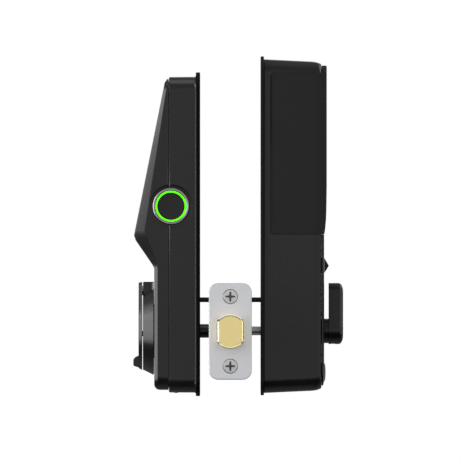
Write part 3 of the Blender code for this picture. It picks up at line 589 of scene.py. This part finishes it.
def piece(node_name, mesh, edge=0.0, corner=35.0, name=None, look=None, replaces=True):
    """Fine piece that rides with a CAD node's body and, with replaces, stands for the node."""
    mesh.name = name or node_name + "_skin"
    mesh.materials.clear()
    mesh.materials.append(look or LOOKS[SLOT_OF[node_name]])
    thing = bpy.data.objects.new(mesh.name, mesh)
    bpy.context.scene.collection.objects.link(thing)
    mesh.shade_smooth()
    if edge:
        bevel = thing.modifiers.new("edges", "BEVEL")
        bevel.width = edge * MM
        bevel.segments = 2
        bevel.limit_method = "ANGLE"
        bevel.angle_limit = math.radians(corner)
        bevel.use_clamp_overlap = False
        bevel.miter_outer = "MITER_ARC"
        bevel.harden_normals = True
    else:
        mesh.set_sharp_from_angle(angle=math.radians(corner))
        weighted = thing.modifiers.new("flat_faces", "WEIGHTED_NORMAL")
        weighted.keep_sharp = True
        weighted.weight = 100
    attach(thing, BODY_OF[node_name])
    if replaces:
        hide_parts(node_name)


def refine(node_name, edge):
    """Carried-over CAD node: welded, its flat faces merged and its edges rounded by modifiers."""
    thing = frame["nodes"][node_name]
    weld = thing.modifiers.new("weld", "WELD")
    weld.merge_threshold = 0.000002
    merge = thing.modifiers.new("flats", "DECIMATE")
    merge.decimate_type = "DISSOLVE"
    merge.angle_limit = math.radians(1.0)
    if edge:
        bevel = thing.modifiers.new("edges", "BEVEL")
        bevel.width = edge * MM
        bevel.segments = 2
        bevel.limit_method = "ANGLE"
        bevel.angle_limit = math.radians(40.0)
        bevel.harden_normals = True


# ---------------------------------------------------------------- exterior unit

def interpolate(table, z):
    """Value of a (height, value) table at a height."""
    for (z0, v0), (z1, v1) in zip(table, table[1:]):
        if z <= z1:
            return v0 + (v1 - v0) * max(0.0, z - z0) / (z1 - z0)
    return table[-1][1]


def front_x(z):
    """Front surface of the casing in side view."""
    foot = SHELL_BOTTOM + FRONT_EDGE_RADIUS
    if z < foot:
        return LOWER_FACE + FRONT_EDGE_RADIUS - math.sqrt(max(0.0, FRONT_EDGE_RADIUS ** 2 - (foot - z) ** 2))
    if z > SLOPE_TOP[1]:
        rise = z - SLOPE_TOP[1]
        return SLOPE_TOP[0] + FRONT_EDGE_RADIUS - math.sqrt(max(0.0, FRONT_EDGE_RADIUS ** 2 - rise ** 2))
    corners = (*UNDERCUT, APEX, SLOPE_TOP)
    return interpolate(((foot, LOWER_FACE), *[corner[::-1] for corner in corners]), z)


def bevel_inner_x(z):
    """Line where the casing's side meets the bevel facet."""
    return interpolate(((-29.0, -43.05), (39.5, -43.05), (59.4, -50.8), (SLOPE_TOP[1], -37.5)), z)


def bevel_depth(z):
    """How far the bevel facet reaches across the front."""
    return interpolate(((-29.0, 1.2), (37.2, 1.2), (APEX[1], 1.7), (110.0, 1.8), (SLOPE_TOP[1], 0.85)), z)


def casing_half_width(z, low, high, half_width, corner):
    """Half width at a height, narrower in the round corners."""
    reach = max(low + corner - z, z - (high - corner), 0.0)
    return half_width - corner + math.sqrt(max(0.0, corner ** 2 - reach ** 2))


def shell_section(z, seam_x, wall):
    """Level section of the wedge, its facet corners slightly rounded; wall is taken off for the hollow."""
    half = casing_half_width(z, SHELL_BOTTOM, SHELL_TOP, EXT_HALF_WIDTH, EXT_CORNER)
    outer = min(front_x(z), seam_x - 1.1) + wall
    inner = min(bevel_inner_x(z), seam_x - 0.8) + wall
    inner = max(inner, outer + 0.1)
    side = half - 1.65 * wall
    face = half - bevel_depth(z) - wall
    corners = [(seam_x, -side), (inner, -side), (outer, -face), (outer, face), (inner, side), (seam_x, side)]
    if wall == 0.0:
        corners[0:1] = [(seam_x, -side), (seam_x - 0.1, -side - 0.18), (seam_x - 0.3, -side - 0.18),
                        (seam_x - 0.75, -side)]
        corners[-1:] = [(seam_x - 0.75, side), (seam_x - 0.3, side + 0.18), (seam_x - 0.1, side + 0.18),
                        (seam_x, side)]
        corners = softened(corners, (0, 0, 0, 0, 0.3, 0.5, 0.5, 0.3, 0, 0, 0, 0))
    return [(x, y, z) for x, y in corners]


def slope_frame():
    """Frame on the middle of the sloping face: x across, y up the slope and z out of it."""
    top, foot = Vector((SLOPE_TOP[0], 0, SLOPE_TOP[1])), Vector((APEX[0], 0, APEX[1]))
    up = (top - foot).normalized()
    across = Vector((0, -1, 0))
    out = across.cross(up)
    return Matrix.Translation((top + foot) / 2 * MM) @ Matrix((across, up, out)).transposed().to_4x4()


def slope_slab(width, height, corner, low, high):
    """Rounded plate on the sloping face, from low to high above it."""
    outline = rounded_rect(-width / 2, width / 2, -height / 2, height / 2, corner)
    return slab([outline], "z", low, high, slope_frame())


def sensor_cutter():
    """Bowl with a soft lip and the through hole, on the side at -Y."""
    side = -EXT_HALF_WIDTH
    hole, lip = SENSOR_HOLE_RADIUS, SENSOR_BOWL_RADIUS
    profile = [(0, side - 2), (lip, side - 2), (lip, side - 0.02), (12.9, side + 0.01), (12.5, side + 0.08),
               (12.1, side + 0.17), (11.7, side + 0.21), (hole, side + 0.22), (hole, side + 12),
               (0, side + 12)]
    return turned(profile, "y", SENSOR)


def exterior_gasket():
    def outline_at(inset):
        half = EXT_GASKET_HALF_WIDTH - inset
        return rounded_rect(-half, half, EXT_GASKET_BOTTOM + inset, EXT_GASKET_TOP - inset,
                            EXT_GASKET_CORNER - inset)
    profile = [(-DOOR_HALF, 0.35), (-18.15, 0.1), (-18.4, 0.0), (-19.9, 0.0), (-20.25, 0.12), (-20.5, 0.45)]
    mesh = cut(rimmed(profile, outline_at), rod("x", (0, 0), BORE_RADIUS, -22, -17))
    piece("exterior_gasket", mesh)


def exterior_rear_housing():
    half, front = EXT_HALF_WIDTH, EXT_SEAM + SEAM_HALF

    def outline_at(inset):
        return rounded_rect(-half + inset, half - inset, EXT_BOTTOM + inset, EXT_TOP - inset, EXT_CORNER)
    profile = [(EXT_BACK, -0.3), (EXT_BACK - 0.08, -0.46), (EXT_BACK - 0.75, -0.1), (front + 0.65, 0.0),
               (front, 0.28)]
    mesh = rimmed(profile, outline_at)
    back_wall = EXT_BACK - 2.7
    mesh = cut(mesh, slab([rounded_rect(-33.6, 33.6, -33.9, 148.4, 5.6)], "x", front - 1, back_wall),
               slab([rounded_rect(-6, 6, -8, 24, 5.9)], "x", back_wall - 1, EXT_BACK + 1), sensor_cutter())
    posts = [rod("x", (y, 0), POST_RADIUS, back_wall + 0.8, -9.0, 32) for y in (-POST_Y, POST_Y)]
    mesh = joined(mesh, *posts)
    holes = [rod("x", (y, 0), POST_HOLE_RADIUS, back_wall - 1, -8.0, 32) for y in (-POST_Y, POST_Y)]
    contacts = [rod("z", (-33.0, y), 2.3, -38.0, -32.0, 32) for y in (-5.0, 5.0)]
    piece("exterior_rear_housing", cut(mesh, *holes, *contacts), corner=30.0)


def exterior_front_shell():
    seam_x = EXT_SEAM - SEAM_HALF
    swing = [EXT_CORNER * (1 - math.cos(math.radians(7.5 * i))) for i in range(13)]
    levels = {SHELL_BOTTOM + rise for rise in swing} | {SHELL_TOP - fall for fall in swing}
    levels |= {z for x, z in UNDERCUT} | {APEX[1], 59.4, 110.0, SLOPE_TOP[1]}
    mesh = loft([shell_section(z, seam_x, 0.0) for z in sorted(levels)])
    mesh = joined(mesh, slab([rounded_rect(-33.3, 33.3, -33.5, 148.0, 5.4)], "x", seam_x - 0.4,
                             EXT_SEAM + 1.2))
    hollow = [-32.2, -29.4, -26.9, *[z for x, z in UNDERCUT], APEX[1], 59.4, 110.0, 141.6, 144.6, 146.4]
    tools = [loft([shell_section(z, EXT_SEAM + 3.0, SHELL_WALL) for z in hollow]),
             slope_slab(GLASS_WIDTH + 0.5, GLASS_HEIGHT + 0.5, GLASS_CORNER + 0.25, -1.8, 4.0),
             slope_slab(47.0, 73.0, 3.0, -9.0, 4.0),
             rod("x", (0, 0), CYLINDER_RADIUS + 0.3, LOWER_FACE - 1, LOWER_FACE + 6), sensor_cutter()]
    piece("exterior_front_shell", cut(mesh, *tools), corner=30.0)


def keypad():
    width, height, corner = GLASS_WIDTH, GLASS_HEIGHT, GLASS_CORNER
    frame_matrix = slope_frame()
    sections = []
    for level, inset in ((-1.5, 0.0), (-0.35, 0.0), (-0.1, 0.1), (0.0, 0.35)):
        outline = rounded_rect(-width / 2 + inset, width / 2 - inset, -height / 2 + inset, height / 2 - inset,
                               corner - inset)
        sections.append([frame_matrix @ Vector((u * MM, v * MM, level * MM)) / MM for u, v in outline])
    piece("touch_glass", loft(sections), corner=20.0)
    columns, rows = (-15.0, 0.0, 15.0), (25.0, 8.3, -8.3, -25.0)
    bm = bmesh.new()
    for i, mark in enumerate("123456789*0#"):
        curve = bpy.data.curves.new("mark", "FONT")
        curve.body = mark
        curve.size = 7.6 * MM
        curve.align_x = "CENTER"
        curve.align_y = "CENTER"
        curve.extrude = 0.01 * MM
        mark_mesh = evaluated(temporary_object(curve))
        place = Matrix.Translation((columns[i % 3] * MM, rows[i // 3] * MM, 0.02 * MM))
        mark_mesh.transform(frame_matrix @ place)
        bm.from_mesh(mark_mesh)
    piece("touch_glass", to_mesh(bm), name="keypad_digits", look=DIGIT_LOOK, replaces=False)


def fingerprint_sensor():
    side = -EXT_HALF_WIDTH
    bezel = [(9.5, side + 4.5), (9.5, side - 0.25), (9.62, side - 0.37), (9.8, side - 0.4),
             (10.35, side - 0.4), (10.6, side - 0.33), (10.75, side - 0.18), (10.8, side), (10.8, side + 4.5)]
    piece("fingerprint_bezel", turned(bezel, "y", SENSOR), corner=40.0)
    ring = [(8.15, side + 4.0), (8.15, side - 0.12), (8.22, side - 0.2), (9.1, side - 0.2),
            (9.2, side - 0.12), (9.2, side + 4.0)]
    piece("fingerprint_light_ring", turned(ring, "y", SENSOR), corner=40.0)
    pad = [(0, side + 0.22), (4.0, side + 0.2), (6.5, side + 0.14), (7.5, side + 0.1), (7.72, side + 0.14),
           (7.85, side + 0.3), (7.85, side + 6.5), (0, side + 6.5)]
    piece("fingerprint_sensor", turned(pad, "y", SENSOR), corner=40.0)


# ---------------------------------------------------------------- key cylinder

def cylinder_guard():
    rim = GUARD_RADIUS - 0.1
    profile = [(0, GUARD_FRONT), (rim - 0.25, GUARD_FRONT), (rim - 0.08, GUARD_FRONT + 0.05),
               (rim, GUARD_FRONT + 0.2), (GUARD_FOOT_RADIUS - 0.1, GUARD_FOOT - 0.3),
               (GUARD_FOOT_RADIUS - 0.6, GUARD_FOOT - 0.25),
               (GUARD_FOOT_RADIUS - 0.6, GUARD_FOOT), (0, GUARD_FOOT)]
    mesh = turned(profile, "x", (0, 0))

    def tab_outline(inset):
        return rounded_rect(-TAB_HALF + inset, TAB_HALF - inset, 12, TAB_TOP - max(inset, 0),
                            (0, 0, 1.0, 1.0))
    tab = rimmed([(GUARD_FRONT + 0.05, 0.3), (GUARD_FRONT + 0.25, 0.05), (GUARD_FRONT + 0.5, 0.0),
                  (-46.6, 0.0), (-46.0, -0.45), (GUARD_FOOT - 0.1, -0.9)], tab_outline)
    mesh = joined(mesh, tab)
    bumper = turned([(0, COVER_BACK + 0.08), (1.3, COVER_BACK + 0.08), (1.7, COVER_BACK + 0.25),
                     (1.7, GUARD_FRONT + 0.5), (0, GUARD_FRONT + 0.5)], "x", BUMPER, 32)
    mesh = joined(mesh, bumper)
    mesh = cut(mesh, rod("x", (0, 0), CYLINDER_RADIUS + 0.3, GUARD_FRONT - 1, GUARD_FOOT + 1),
               rod("x", (0, PIVOT_Z), PIVOT_RADIUS, GUARD_FRONT - 1, -46.6, 32))
    piece("cylinder_guard", mesh, corner=30.0)


def key_cylinder():
    face = CYLINDER_FRONT
    body = [(6.8, -38.5), (6.8, face + 0.35), (7.15, face), (15.3, face), (15.8, face + 0.2),
            (CYLINDER_RADIUS, face + 0.7), (CYLINDER_RADIUS, -38.5)]
    piece("cylinder_body", turned(body, "x", (0, 0)), corner=35.0)
    plug = [(0, face), (PLUG_RADIUS - 0.5, face), (PLUG_RADIUS - 0.15, face + 0.15),
            (PLUG_RADIUS, face + 0.5), (PLUG_RADIUS, -36.6), (0, -36.6)]
    keyway = [(-0.95, -4.6), (0.95, -4.6), (0.95, -2.6), (0.35, -2.2), (0.35, -0.9), (0.95, -0.5),
              (0.95, 1.3), (0.2, 1.7), (0.2, 4.0), (-0.95, 4.0), (-0.95, 2.9), (-0.45, 2.5),
              (-0.45, 0.3), (-0.95, -0.1)]
    flare = [(y * 1.25, z * 1.06) for y, z in keyway]
    mesh = cut(turned(plug, "x", (0, 0)), slab([keyway], "x", face - 1, -41.0),
               slab([flare], "x", face - 1, face + 0.25))
    piece("key_plug", mesh, corner=35.0)


def key_cover():
    def outline_at(inset):
        return capsule((0, 0), (0, TAB_TOP - TAB_HALF), COVER_RADIUS - inset, TAB_HALF - 0.35 * inset)
    profile = [(COVER_FRONT, 1.45), (COVER_FRONT + 0.03, 1.25), (COVER_FRONT + 0.14, 1.08),
               (COVER_FRONT + 0.3, 0.94), (COVER_BACK - 0.15, 0.04), (COVER_BACK - 0.04, 0.0),
               (COVER_BACK, 0.12)]
    mesh = rimmed(profile, outline_at)
    nub = [(-53.6, -14.0), (-54.5, -14.7), (-55.4, -15.0), (-56.6, -15.7), (-57.3, -16.4), (-57.62, -17.0),
           (-57.7, -17.5), (-57.7, -20.0), (-57.55, -20.55), (-57.2, -20.9), (-55.4, -21.5), (-53.6, -22.0)]
    mesh = joined(mesh, loft([[(x, y, z) for x, z in nub] for y in (-7.0, 7.0)]))
    mesh = cut(mesh, rod("x", (0, PIVOT_Z), PIVOT_RADIUS, COVER_FRONT - 1, COVER_BACK + 1, 32),
               rod("x", (0, PIVOT_Z), 3.5, COVER_FRONT - 1, COVER_FRONT + 0.8, 48))
    piece("key_cover", mesh, corner=30.0)
    head = [(0, COVER_FRONT + 0.1), (2.3, COVER_FRONT + 0.12), (2.9, COVER_FRONT + 0.22),
            (3.2, COVER_FRONT + 0.5), (3.2, COVER_FRONT + 0.75), (1.5, COVER_FRONT + 0.75),
            (1.5, COVER_BACK + 0.05), (2.9, COVER_BACK + 0.05), (2.9, GUARD_FRONT - 0.02),
            (1.5, GUARD_FRONT - 0.02), (1.5, -47.0), (0, -47.0)]
    slotted = cut(turned(head, "x", (0, PIVOT_Z), 48),
                  block((COVER_FRONT - 0.5, -4, PIVOT_Z - 0.35), (COVER_FRONT + 0.4, 4, PIVOT_Z + 0.35)))
    piece("key_cover_pivot", slotted, corner=35.0)


# ---------------------------------------------------------------- deadbolt

def cross_outline(z, scale):
    """Cross recess with arms that narrow towards their ends."""
    cross = []
    for quarter in range(4):
        angle = math.radians(90 * quarter)
        for u, v in ((0.7, 0.7), (0.55, 2.3), (0.25, 3.0), (-0.25, 3.0), (-0.55, 2.3)):
            u, v = u * scale, v * scale
            cross.append((u * math.cos(angle) - v * math.sin(angle),
                          z + u * math.sin(angle) + v * math.cos(angle)))
    return cross


def faceplate_screw(node_name, z):
    """Countersunk screw; a dark piece of painted shadow fills the bottom of its recess and the seam round its
    head.
    """
    front = FACEPLATE_FRONT
    profile = [(0, front - 0.02), (3.6, front), (4.0, front + 0.03), (4.1, front + 0.12), (4.1, front + 1.0),
               (2.0, front + 2.2), (1.95, front + 18.0), (0.3, front + 22.0), (0, front + 22.0)]
    head = cut(turned(profile, "y", (0, z), 64), slab([cross_outline(z, 1.0)], "y", front - 1, front + 1.7))
    piece(node_name, head, corner=35.0, look=SCREW_LOOK)
    seam = turned([(4.12, front + 0.1), (4.42, front + 0.1), (4.42, front + 0.9), (4.12, front + 0.9)], "y",
                  (0, z), 64)
    # painted shadow: a dark cross at the bottom of the recess and a dark ring in the seam round the head
    shade = joined(slab([cross_outline(z, 0.97)], "y", front + 0.3, front + 1.6), seam)
    piece(node_name, shade, name=node_name + "_painted_shadow", look=SCREW_SHADOW_LOOK, replaces=False)


def faceplate():
    front = FACEPLATE_FRONT
    opening = bolt_outline(BOLT_RADIUS + 0.4, BOLT_HALF + 0.4)
    sections = []
    for y, inset in ((front + 2.4, 0.0), (front + 0.5, 0.0), (front + 0.15, 0.12), (front, 0.45)):
        wide, high = FACEPLATE_HALF_WIDTH - inset, FACEPLATE_HALF_HEIGHT - inset
        outline = rounded_rect(-wide, wide, -high, high, FACEPLATE_CORNER - inset)
        sections.append([(x, y, z) for x, z in outline])
    mesh = loft(sections)
    tools = [slab([opening], "y", front - 1, front + 4)]
    for z in (-SCREW_Z, SCREW_Z):
        tools.append(turned([(0, front - 1), (4.45, front - 1), (4.45, front + 1.0), (2.3, front + 2.2),
                             (2.3, front + 4), (0, front + 4)], "y", (0, z), 64))
    piece("faceplate", cut(mesh, *tools), corner=30.0)
    faceplate_screw("faceplate_screw_upper", SCREW_Z)
    faceplate_screw("faceplate_screw_lower", -SCREW_Z)


def bolt():
    sections = []
    for y, inset in ((BOLT_FRONT, 0.9), (BOLT_FRONT + 0.06, 0.74), (BOLT_FRONT + 0.82, 0.07),
                     (BOLT_FRONT + 1.0, 0.0), (BOLT_BACK - 0.5, 0.0), (BOLT_BACK, 0.5)):
        sections.append([(x, y, z) for x, z in bolt_outline(BOLT_RADIUS - inset, BOLT_HALF - inset)])
    piece("bolt", loft(sections), corner=25.0)


# ---------------------------------------------------------------- interior unit

def interior_gasket():
    def outline_at(inset):
        half = INT_GASKET_HALF_WIDTH - inset
        return rounded_rect(-half, half, INT_GASKET_BOTTOM + inset, INT_GASKET_TOP - inset,
                            INT_GASKET_CORNER - inset)
    profile = [(DOOR_HALF, 0.35), (18.15, 0.1), (18.4, 0.0), (19.4, 0.0), (19.75, 0.12), (INT_BACK, 0.45)]
    look = finish("gasket_rubber_grey", (0.0018, 0.0018, 0.0018), (0.0032, 0.0032, 0.0032), (0.42, 0.52),
                  specular=0.22, grain=1800.0, bump=0.4)
    piece("interior_gasket", cut(rimmed(profile, outline_at), rod("x", (0, 0), BORE_RADIUS, 17, 21)),
          look=look)


def interior_housing():
    def outline_at(inset):
        half = INT_HALF_WIDTH - inset
        return rounded_rect(-half, half, INT_BOTTOM + inset, INT_TOP - inset, INT_CORNER)
    profile = [(INT_BACK, 0.4), (INT_BACK + 0.15, 0.1), (INT_BACK + 0.45, 0.0)]
    sections = [[(x, y, z) for y, z in outline_at(inset)] for x, inset in profile]
    rim = ((48.5, -35.4, 159.95, 0.0), (49.8, -35.25, 159.8, 0.08), (51.0, -35.05, 159.6, 0.35),
           (52.0, -34.75, 159.33, 0.72), (52.9, -34.4, 159.0, 1.2), (53.5, -34.07, 158.67, 1.7),
           (INT_FRONT, -33.7, 158.3, 2.3))
    for x, low, high, inset in rim:
        half = INT_HALF_WIDTH - inset
        outline = rounded_rect(-half, half, low, high, INT_CORNER)
        sections.append([(x, y, z) for y, z in outline])
    tools = [slab([rounded_rect(-34.2, 34.2, -33.0, 157.2, 5.4)], "x", INT_BACK - 1, FRONT_WALL_BACK),
             slab([rounded_rect(-32.9, 32.9, 62.5, 151.5, 3.0)], "x", FRONT_WALL_BACK - 1, INT_FRONT + 1),
             rod("x", (0, 0), NECK_RADIUS + 0.4, FRONT_WALL_BACK - 1, INT_FRONT + 1),
             rod("x", (0, BUTTON_Z), BUTTON_RADIUS + 0.3, FRONT_WALL_BACK - 1, INT_FRONT + 1),
             block((FRONT_WALL_BACK - 1, -9.4, 27.6), (INT_FRONT + 1, 9.4, 46.5))]
    for near, far in ((-40.0, -36.2), (36.2, 40.0)):
        tools.append(slab([rounded_rect(23.7, 58.0, 57.3, 153.3, (2.3, 0, 0, 2.3))], "y", near, far))
    piece("interior_housing", cut(loft(sections), *tools), corner=30.0)


def front_fascia():
    top = COVER_SPLIT_Z - 0.03

    def outline_at(inset):
        half, corner = PANEL_HALF_WIDTH - inset, INT_CORNER - inset
        return rounded_rect(-half, half, PANEL_BOTTOM + inset, top - 0.05 * inset, (corner, corner, 0.3, 0.3))
    profile = [(PANEL_BACK, 0.0), (FASCIA_FRONT - 0.9, 0.0), (FASCIA_FRONT - 0.65, 0.3),
               (FASCIA_FRONT - 0.4, 1.0), (FASCIA_FRONT - 0.12, 2.2), (FASCIA_FRONT, 3.4)]
    holes = [rod("x", (0, 0), NECK_RADIUS + 0.4, 53, 57),
             rod("x", (0, BUTTON_Z), BUTTON_RADIUS + 0.3, 53, 57), block((53, -7.4, 30.6), (57, 7.4, 43.9))]
    piece("front_fascia", cut(rimmed(profile, outline_at), *holes), corner=30.0)


def battery_cover():
    low, high = COVER_SPLIT_Z + 0.03, PANEL_TOP
    side_view = [(PANEL_BACK, low), (FASCIA_FRONT, low), (56.05, 59.0), (56.3, 61.0), (56.75, 66.0),
                 (56.95, 71.0), (57.05, 76.0), (COVER_PANEL_FRONT, 86.0), (COVER_PANEL_FRONT, high - 0.9),
                 (57.05, high - 0.35), (56.6, high), (PANEL_BACK, high)]
    half = PANEL_HALF_WIDTH
    mesh = slab([side_view], "y", -half, half)
    face = rounded_rect(-half, half, low - 1, high + 0.1, (0, 0, INT_CORNER, INT_CORNER))
    mesh = combined(mesh, [slab([face], "x", PANEL_BACK - 1, COVER_PANEL_FRONT + 1)], "INTERSECT")
    wing_back, wing_top = 23.76, 153.24
    wings = []
    for side in (-1, 1):
        wing = [(wing_back, 36.5), (PANEL_BACK, 36.5), (PANEL_BACK, 34.0), (55.4, 34.0), (55.4, 36.2),
                (54.9, 36.6), (54.2, 36.9), (53.6, 37.13), (52.9, 37.3), (52.0, 37.53), (51.0, 37.7),
                (49.8, 37.82), (48.5, 37.9), (wing_back + 0.12, 37.9), (wing_back, 37.8)]
        wings.append(slab([[(x, side * y) for x, y in wing]], "z", low, wing_top))
    mesh = joined(mesh, *wings)
    corner = 2.25
    profile = arc((wing_back + corner, low + corner), corner, 180, 270, 8)
    profile += [(60.0, low), (60.0, high + 1), (PANEL_BACK - 1, high + 1), (PANEL_BACK - 1, wing_top)]
    profile += arc((wing_back + corner, wing_top - corner), corner, 90, 180, 8)
    mesh = combined(mesh, [slab([profile], "y", -40.0, 40.0)], "INTERSECT")
    piece("battery_cover", mesh, edge=0.2, corner=40.0)


def cover_release_latch():
    ridge = [(53.5, 43.5), (FASCIA_FRONT, 43.5), (56.0, 43.2), (58.2, 39.5), (58.5, 39.0), (58.4, 38.4),
             (56.7, 35.6), (56.4, 35.2), (56.0, 34.6), (FASCIA_FRONT, 34.3), (53.5, 34.3)]
    mesh = joined(slab([ridge], "y", -7.0, 7.0), block((52.0, -9.0, 31.0), (INT_FRONT, 9.0, 46.0)))
    piece("cover_release_latch", mesh, edge=0.2, corner=40.0)


def push_button():
    crown, land = 56.77, 56.05
    dome = [(0, 46.5), (2.6, 46.5), (2.6, 52.6), (BUTTON_RADIUS, 52.6), (BUTTON_RADIUS, 55.7), (5.6, 55.92),
            (5.4, 56.03), (5.2, land)]
    for i in range(1, 10):
        angle = math.radians(10 * i)
        dome.append((5.2 * math.cos(angle), land + (crown - land) * math.sin(angle)))
    dome[-1] = (0, crown)
    piece("push_button", turned(dome, "x", (0, BUTTON_Z)), corner=35.0)


def thumbturn_lever():
    sections = []
    for x, inset in ((LEVER_BACK, 0.12), (LEVER_BACK + 0.12, 0), (64.4, 0), (65.0, 0.13), (65.5, 0.42),
                     (66.0, 0.95), (66.4, 1.65), (66.8, 2.7), (67.1, 4.2)):
        outline = capsule((0, 0), LEVER_TIP, LEVER_HUB_RADIUS - inset, LEVER_TIP_RADIUS - inset)
        sections.append([(x, y, z) for y, z in outline])
    mesh = joined(loft(sections), rod("x", (0, 0), NECK_RADIUS, 52.0, LEVER_BACK + 0.2))
    mesh = cut(mesh, rod("x", (0, 0), 5.3, 51.0, 62.0), rod("z", (60.9, 0), 1.8, -10.0, -4.0, 32))
    piece("thumbturn_lever", mesh, corner=25.0)


# ---------------------------------------------------------------- studio

# Brightness of the room in front of and behind the lock, by height from straight down to straight up
SKY_IN_FRONT = ((-1.0, 0.34), (-0.97, 0.30), (-0.92, 0.06), (-0.60, 0.02), (-0.30, 0.03), (-0.10, 0.50),
                (0.05, 1.15), (0.25, 0.60), (0.8, 0.40), (1.0, 0.7))
SKY_BEHIND = ((-1.0, 0.30), (-0.6, 0.24), (-0.25, 0.10), (-0.1, 0.03), (0.25, 0.03), (0.5, 0.10), (1.0, 0.55))


def sky():
    """White backdrop to the camera; a soft studio room to everything that mirrors it."""
    world = bpy.data.worlds.new("studio")
    bpy.context.scene.world = world
    world.use_nodes = True
    tree = world.node_tree
    tree.nodes.clear()
    direction = node(tree, "TexCoord").outputs["Generated"]
    parts = node(tree, "SeparateXYZ", {"Vector": direction})
    height = node(tree, "MapRange", {"Value": parts.outputs["Z"], "From Min": -1.0,
                                     "From Max": 1.0}).outputs["Result"]
    ahead, behind = [ramp(tree, height, tuple((0.5 + 0.5 * z, (value,) * 3) for z, value in table))
                     for table in (SKY_IN_FRONT, SKY_BEHIND)]
    depth = node(tree, "MapRange", {"Value": parts.outputs["Y"], "From Min": -0.1,
                                    "From Max": 0.25}).outputs["Result"]
    room = mixed(tree, depth, ahead, behind)
    seen = node(tree, "LightPath").outputs["Is Camera Ray"]
    lit = node(tree, "Background", {"Color": room, "Strength": 1.0}).outputs[0]
    plain = node(tree, "Background", {"Color": (1, 1, 1, 1), "Strength": 1.0}).outputs[0]
    both = node(tree, "MixShader", {0: seen, 1: lit, 2: plain}).outputs[0]
    tree.links.new(both, node(tree, "OutputWorld").inputs["Surface"])


def panel_light(name, direction, distance, size, radiance, receivers=None):
    """Soft panel aimed at the lock, its power from its radiance and area; receivers limit what it lights."""
    light = bpy.data.lights.new(name, "AREA")
    light.shape = "RECTANGLE"
    light.size, light.size_y = size
    light.energy = math.pi * size[0] * size[1] * radiance
    thing = bpy.data.objects.new(name, light)
    bpy.context.scene.collection.objects.link(thing)
    target = Vector((0, 0, 60 * MM))
    place = Vector(direction).normalized() * distance
    thing.location = target + place
    thing.rotation_euler = place.to_track_quat("Z", "Y").to_euler()
    thing.visible_camera = False
    if receivers:
        lit = bpy.data.collections.new(name + "_receivers")
        for receiver in receivers:
            lit.objects.link(receiver)
        thing.light_linking.receiver_collection = lit


def studio():
    sky()
    panel_light("street_side_panel", (-0.95, -0.31, 0.08), 1.5, (1.5, 1.7), 5.2)
    panel_light("room_side_panel", (0.97, 0.25, 0.12), 1.6, (0.35, 1.2), 2.6)
    street_side = [thing for thing in bpy.context.scene.objects
                   if thing.type == "MESH" and thing.name.startswith(("exterior", "cylinder", "key_cover"))]
    panel_light("overhead_panel", (0.0, -0.20, 0.97), 1.7, (1.2, 1.1), 1.3, street_side)
    panel_light("rear_panel", (-0.10, 0.97, 0.25), 1.6, (1.8, 1.2), 0.9)
    panel_light("rear_room_panel", (0.75, 0.45, 0.50), 1.5, (0.9, 0.8), 1.6)
    bolt_skin = [thing for thing in bpy.context.scene.objects if thing.name == "bolt_skin"]
    panel_light("bolt_fill_panel", (0.0, -0.15, -0.98), 1.2, (2.4, 1.0), 1.1, bolt_skin)
    guard_parts = [thing for thing in street_side if thing.name.startswith(("cylinder_guard", "key_cover"))]
    panel_light("upper_street_panel", (-0.45, -0.33, 0.83), 1.5, (1.2, 1.4), 3.0, guard_parts)
    disc = bmesh.new()
    bmesh.ops.create_circle(disc, cap_ends=True, segments=96, radius=FLOOR_RADIUS,
                            matrix=Matrix.Translation((0, 0, FLOOR_Z)))
    floor = bpy.data.objects.new("studio_floor", to_mesh(disc))
    bpy.context.scene.collection.objects.link(floor)
    paint = finish("floor_paint", (0.86, 0.86, 0.86), (0.88, 0.88, 0.88), (0.6, 0.7), specular=0.1,
                   grain=60.0, bump=0.02)
    shader = paint.node_tree.nodes["Principled BSDF"]
    shader.inputs["Emission Color"].default_value = (1, 1, 1, 1)
    shader.inputs["Emission Strength"].default_value = 0.3
    floor.data.materials.append(paint)
    floor.visible_glossy = False
    floor.visible_diffuse = False


def camera():
    lens = bpy.data.cameras.new("camera")
    lens.sensor_width = 36.0
    lens.lens = lens.sensor_width * (CAMERA_DISTANCE - EXT_HALF_WIDTH * MM) / VIEW_WIDTH
    thing = bpy.data.objects.new("camera", lens)
    bpy.context.scene.collection.objects.link(thing)
    thing.location = (-0.0002, -CAMERA_DISTANCE, VIEW_HEIGHT)
    thing.rotation_euler = (math.radians(90), 0, 0)
    bpy.context.scene.camera = thing
    bpy.context.scene.view_settings.view_transform = "Standard"


# ---------------------------------------------------------------- assembly

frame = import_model()
BODY_OF = {name: body for body, names in frame["record"]["behaviour"]["bodies"].items() for name in names}
SLOT_OF = {row["node"]: row["material_slot"] for row in frame["record"]["subparts"]}
LOOKS = build_looks()
# printed keypad digits with a painted glow from a weak emission
DIGIT_LOOK = light_look("digit_print_painted_glow", (0.75, 0.77, 0.80), 0.35)
# dark colour of the painted shadow in the screw recesses and seams
SCREW_SHADOW_LOOK = finish("painted_recess_shadow", (0.07, 0.07, 0.07), (0.10, 0.10, 0.10), (0.5, 0.6), specular=0.2,
                     grain=900.0)
SCREW_LOOK = finish("screw_steel", (0.62, 0.63, 0.64), (0.72, 0.73, 0.74), (0.30, 0.40), metallic=1.0,
                    grain=900.0)

for name, thing in frame["nodes"].items():
    for index in range(len(thing.material_slots)):
        thing.material_slots[index].material = LOOKS[SLOT_OF[name]]
    refine(name, CARRIED_EDGE)

exterior_gasket()
exterior_rear_housing()
exterior_front_shell()
keypad()
fingerprint_sensor()
cylinder_guard()
key_cylinder()
key_cover()
faceplate()
bolt()
interior_gasket()
interior_housing()
front_fascia()
battery_cover()
cover_release_latch()
push_button()
thumbturn_lever()
studio()
camera()
